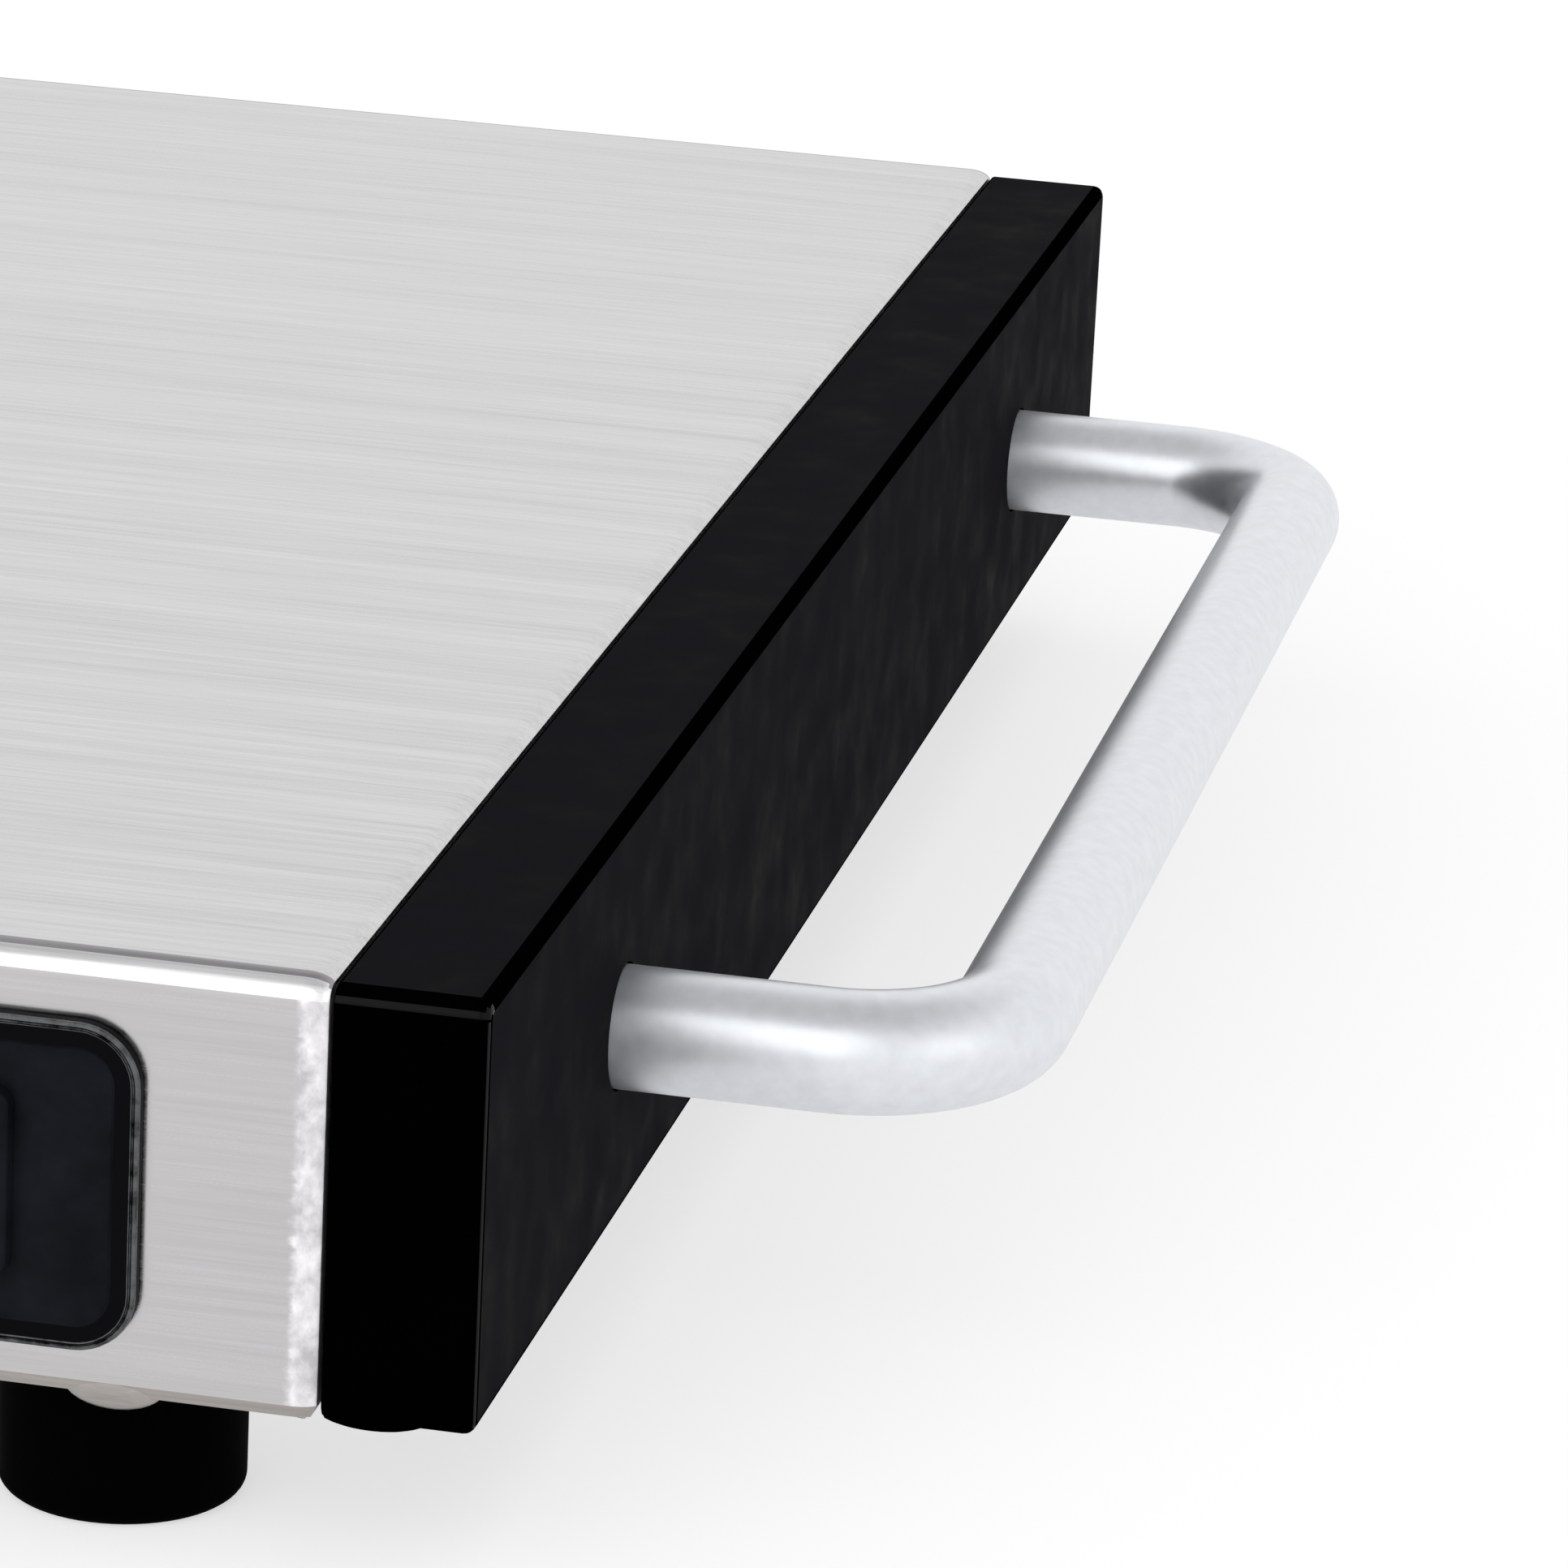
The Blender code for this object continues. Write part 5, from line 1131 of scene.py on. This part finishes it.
def knob_profile():
    """Points from the socket round the skirt and grip to the front, as radius and distance from the back."""
    (hollow_r, hollow_d), (socket_r, socket_d) = KNOB_HOLLOW, KNOB_SOCKET
    skirt_r = (turning_high.x - turning_low.x) / 2
    soft = KNOB_SOFT / 2
    points = [(0, socket_d), (socket_r, socket_d), (socket_r, hollow_d), (hollow_r, hollow_d), (hollow_r, 0)]
    points += [(skirt_r - soft, 0), (skirt_r, soft)]
    points += arc(skirt_r - KNOB_SOFT, SKIRT_HEIGHT - KNOB_SOFT, KNOB_SOFT, 0, 90)
    points += [(GRIP_RADIUS + KNOB_SOFT, SKIRT_HEIGHT)]
    points += [(GRIP_RADIUS + soft / 2, SKIRT_HEIGHT + soft / 2), (GRIP_RADIUS, SKIRT_HEIGHT + KNOB_SOFT)]
    points += [(GRIP_RADIUS, SKIRT_HEIGHT + KNOB_SOFT * 2), (GRIP_RADIUS, KNOB_DEPTH - KNOB_SOFT * 2)]
    points += arc(GRIP_RADIUS - KNOB_SOFT, KNOB_DEPTH - KNOB_SOFT, KNOB_SOFT, 0, 90)
    points += [(POINTER_REACH, KNOB_DEPTH), (POINTER_REACH - soft, KNOB_DEPTH - soft / 2),
               (0, KNOB_DEPTH - soft / 2)]
    return points


def make_knob():
    """The turned knob with its flutes."""
    profile = [(radius, turning_high.y - depth) for radius, depth in knob_profile()]
    bm = turned(profile, KNOB_CENTRE, ALONG_Y, KNOB_STEPS)
    for vert in bm.verts:
        away = Vector((vert.co.x - KNOB_CENTRE.x, 0, vert.co.z - KNOB_CENTRE.z))
        depth = turning_high.y - vert.co.y
        on_grip = SKIRT_HEIGHT + KNOB_SOFT < depth < KNOB_DEPTH - KNOB_SOFT / 2
        if on_grip and away.length > GRIP_RADIUS - KNOB_SOFT:
            wave = 0.5 + 0.5 * math.cos(math.atan2(away.x, away.z) * FLUTES)
            vert.co -= away.normalized() * FLUTE_DEPTH * wave
    return bm


piece("knob", make_knob(), "knob", "black_plastic", CONTROL_BLACK, "thermostat_knob")

# %% [markdown]
# The pointer is a bar that crosses the front of the knob, and the white line is a thinner bar printed on it.
# Both are drawn straight up, rounded in front, and turned to the place of the 0.

# %% Add the pointer and its line
POINTER_HALF = 0.0008
POINTER_END = POINTER_REACH - KNOB_SOFT * 0.3
LINE_HALF = POINTER_HALF * 0.45
LINE_START = POINTER_REACH * 0.25
DIAL_START = math.radians(-135)

for name, half, start, proud, material in (
        ("knob_pointer", POINTER_HALF, -POINTER_REACH, POINTER_PROUD, CONTROL_BLACK),
        ("knob_line", LINE_HALF, LINE_START, POINTER_PROUD + INK, WHITE_INK)):
    bar = bmesh.new()
    front = turning_high.y - KNOB_DEPTH
    block(bar, (-half, front - proud, start), (half, front + KNOB_SOFT, POINTER_END))
    round_off(bar, edges_where(bar, lambda co: co.y < front), INK * 2, 2)
    turn(bar, DIAL_START, "Y")
    move(bar, (KNOB_CENTRE.x, 0, KNOB_CENTRE.z))
    piece(name, bar, "knob", "black_plastic", material)

# %% [markdown]
# ## The heat scale
# The numbers from 0 to 6 and the dots between them are printed on the panel round the knob. A number starts
# as a flat text curve, which becomes a mesh before it is stood upright and moved to its place on the dial.

# %% Print the scale
DIAL_SWEEP = math.radians(270)
DIAL_RADIUS = 0.0136
DIAL_LAST = 6
DIGIT_SIZE = 0.0030
STROKE_STEPS = 4
DOT_RADIUS = 0.00028
DOTS_BETWEEN = 4


def lettering(text, size):
    """Printed text as a flat bmesh, centred on the origin in X and Y."""
    curve = bpy.data.curves.new("lettering", "FONT")
    curve.body = text
    curve.size = size
    curve.extrude = INK
    curve.resolution_u = STROKE_STEPS
    curve.align_x = "CENTER"
    curve.align_y = "CENTER"
    holder = bpy.data.objects.new("lettering", curve)
    bpy.context.scene.collection.objects.link(holder)
    solved = holder.evaluated_get(bpy.context.evaluated_depsgraph_get())
    mesh = bpy.data.meshes.new_from_object(solved)
    bm = bmesh.new()
    bm.from_mesh(mesh)
    bpy.data.objects.remove(holder)
    bpy.data.curves.remove(curve)
    bpy.data.meshes.remove(mesh)
    return bm


def on_dial(share):
    """A matrix that stands a flat drawing on the panel's floor, at a share of the way round the dial."""
    angle = DIAL_START + DIAL_SWEEP * share
    place = Vector((KNOB_CENTRE.x, FLOOR_Y, KNOB_CENTRE.z))
    place += Vector((math.sin(angle), 0, math.cos(angle))) * DIAL_RADIUS
    return Matrix.Translation(place) @ Matrix.Rotation(QUARTER, 4, "X")


def make_scale():
    """Numbers from 0 to the last, and dots between them."""
    bm = bmesh.new()
    for number in range(DIAL_LAST + 1):
        add_shape(bm, lettering(str(number), DIGIT_SIZE), on_dial(number / DIAL_LAST))
    places = DIAL_LAST * (DOTS_BETWEEN + 1)
    for place in range(places):
        if place % (DOTS_BETWEEN + 1):
            dot = bmesh.new()
            cylinder(dot, (0, 0, -INK), (0, 0, 1), DOT_RADIUS, INK * 2, 12)
            add_shape(bm, dot, on_dial(place / places))
    return bm


piece("dial_scale", make_scale(), "tray", "panel_plastic", WHITE_INK)

# %% [markdown]
# ## The pilot lamp
# A small amber lens shows when the tray is heating. It is a dome on a thin flange with a stem behind, spun from
# one profile. Two fine rings on the dome spread the light of the real lamp.

# %% Model the lens
LENS_FLANGE = 0.0010
LENS_DOME = 0.0018
LENS_DOME_RADIUS = 0.0042
LENS_STEM_RADIUS = 0.0034
LENS_RING = 0.0002
LENS_RING_STEPS = (3, 6)
LENS_STEPS = 10


def make_lens():
    """Dome, flange and stem in one profile."""
    radius = (lens_high.x - lens_low.x) / 2
    dome_back = lens_low.y + LENS_DOME
    flange_back = dome_back + LENS_FLANGE
    profile = [(0, lens_low.y)]
    for step in range(1, LENS_STEPS):
        share = step / LENS_STEPS
        ring = LENS_RING if step in LENS_RING_STEPS else 0
        profile.append((LENS_DOME_RADIUS * share, lens_low.y + LENS_DOME * share ** 2 + ring))
    profile += [(LENS_DOME_RADIUS, dome_back), (radius - LENS_RING, dome_back)]
    profile += [(radius, dome_back + LENS_RING), (radius, flange_back)]
    profile += [(LENS_STEM_RADIUS, flange_back), (LENS_STEM_RADIUS, lens_high.y), (0, lens_high.y)]
    return turned(profile, LENS_CENTRE, ALONG_Y)


piece("amber_lens", make_lens(), "tray", "amber_lens", AMBER, "pilot_lens")

# %% [markdown]
# ## The mains inlet
# At the back a moulded inlet takes the plug of a mains lead. It has a flange on the cover, a body inside, and a
# deep mouth with its two upper corners cut off, so that the plug fits one way only. Three brass pins stand in
# it, the earth pin a little higher. Boxes are rounded, joined and cut, in the order of a toolmaker.

# %% Model the inlet and its pins
INLET_FLANGE = 0.0025
INLET_CORNER = 0.0030
INLET_EDGE = 0.0006
INLET_MOUTH = Vector((0.0240, 0, 0.0164))
INLET_KEY = 0.0050
INLET_FLOOR = 0.0030
PIN_ROUND = 0.0005

inlet_low, inlet_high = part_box("power_inlet")
INLET_CENTRE = middle_of(inlet_low, inlet_high)


def make_inlet():
    """Flange, body and mouth."""
    bm, body, mouth = bmesh.new(), bmesh.new(), bmesh.new()
    block(bm, (inlet_low.x, inlet_high.y - INLET_FLANGE, inlet_low.z), inlet_high)
    round_off(bm, edges_along(bm, 1), INLET_CORNER, 6)
    round_off(bm, edges_at(bm, 1, inlet_high.y), INLET_EDGE, 4)
    centred_block(body, INLET_CENTRE, INLET_BODY, inlet_low.y, inlet_high.y - INLET_FLANGE / 2)
    bm = combine(bm, body, "UNION")
    floor_y = inlet_low.y + INLET_FLOOR
    centred_block(mouth, INLET_CENTRE, INLET_MOUTH, floor_y, inlet_high.y + INLET_FLOOR)
    upper = edges_where(mouth, lambda co: co.z > INLET_CENTRE.z)
    round_off(mouth, edges_along(mouth, 1, upper), INLET_KEY, 1)
    bm = combine(bm, mouth)
    soften_mouth(bm, inlet_high.y, INLET_CENTRE, INLET_MOUTH)
    return bm


piece("mains_inlet", make_inlet(), "tray", "black_plastic", BLACK, "power_inlet")

for pin_name in ("live", "neutral", "earth"):
    pin = bmesh.new()
    block(pin, *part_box(f"inlet_pin_{pin_name}"))
    round_off(pin, pin.edges[:], PIN_ROUND, 3)
    piece(f"brass_pin_{pin_name}", pin, "tray", "brass", BRASS, f"inlet_pin_{pin_name}")

# %% [markdown]
# ## Screws under the tray
# Six pan-head screws hold the base plate, and one holds each foot inside its recess. A head is a flattened dome
# on a straight shank, spun from one profile, and two crossed blades are cut out of it for the driver.

# %% Model the screws
SCREWS = [(f"base_screw_{number}", 0.0016, 0.0015) for number in range(1, 7)]
SCREWS += [(f"foot_screw_{side}_{end}", 0.0026, 0.0018) for side, end in CORNERS]
HEAD_FLAT_SHARE = 0.55
BLADE_SHARE = 0.62
BLADE_WIDTH_SHARE = 0.22
BLADE_DEPTH_SHARE = 0.6
DOME_STEPS = 6


def make_screw(low, high, head, shank):
    """One pan-head screw with its head down."""
    centre, radius = middle_of(low, high), (high.x - low.x) / 2
    profile = [(0, low.z)]
    for step in range(1, DOME_STEPS + 1):
        angle = QUARTER * step / DOME_STEPS
        rise = head * HEAD_FLAT_SHARE * (1 - math.cos(angle))
        profile.append((radius * math.sin(angle), low.z + rise))
    profile += [(radius, low.z + head), (shank, low.z + head), (shank, high.z - shank / 2)]
    profile += [(shank / 2, high.z), (0, high.z)]
    bm = turned(profile, centre, ALONG_Z, 32)
    reach, width, depth = radius * BLADE_SHARE, radius * BLADE_WIDTH_SHARE / 2, head * BLADE_DEPTH_SHARE
    for half_x, half_y in ((reach, width), (width, reach)):
        blade = bmesh.new()
        block(blade, (centre.x - half_x, centre.y - half_y, low.z - depth),
              (centre.x + half_x, centre.y + half_y, low.z + depth))
        bm = combine(bm, blade)
    return bm


for node, head, shank in SCREWS:
    low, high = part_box(node)
    piece(f"cross_{node}", make_screw(low, high, head, shank), "tray", "zinc_steel", ZINC, node)

# %% [markdown]
# ## Pieces inside
# The parts inside the tray are simple pressings, blocks and wires, and the CAD already has their shape. They
# stay as they are and only get their finishes, one for each material of the real parts.

# %% Finishes for the inner pieces
INNER = {
    ZINC: ["base_plate", "handle_screw_", "element_clip_", "retainer_plate", "thermal_cutout",
           "thermostat_body", "thermostat_shaft"],
    BRASS: ["handle_insert_", "earth_screw", "rocker_terminal_", "thermostat_nut"],
    BLACK: ["pilot_holder"],
    ALUMINIUM: ["heat_spreader"],
    FIBRE: ["insulation_pad"],
    SHEATH: ["heating_element"],
    BROWN: ["wire_inlet_to_switch", "wire_switch_to_thermostat", "wire_thermostat_to_cutout",
            "wire_cutout_to_element"],
    BLUE: ["wire_inlet_to_element"],
    GREEN: ["wire_earth"],
}
for material, starts in INNER.items():
    for name, node in frame["nodes"].items():
        if name.startswith(tuple(starts)):
            for place in node.material_slots:
                place.material = material
print("inner finishes", len(INNER))
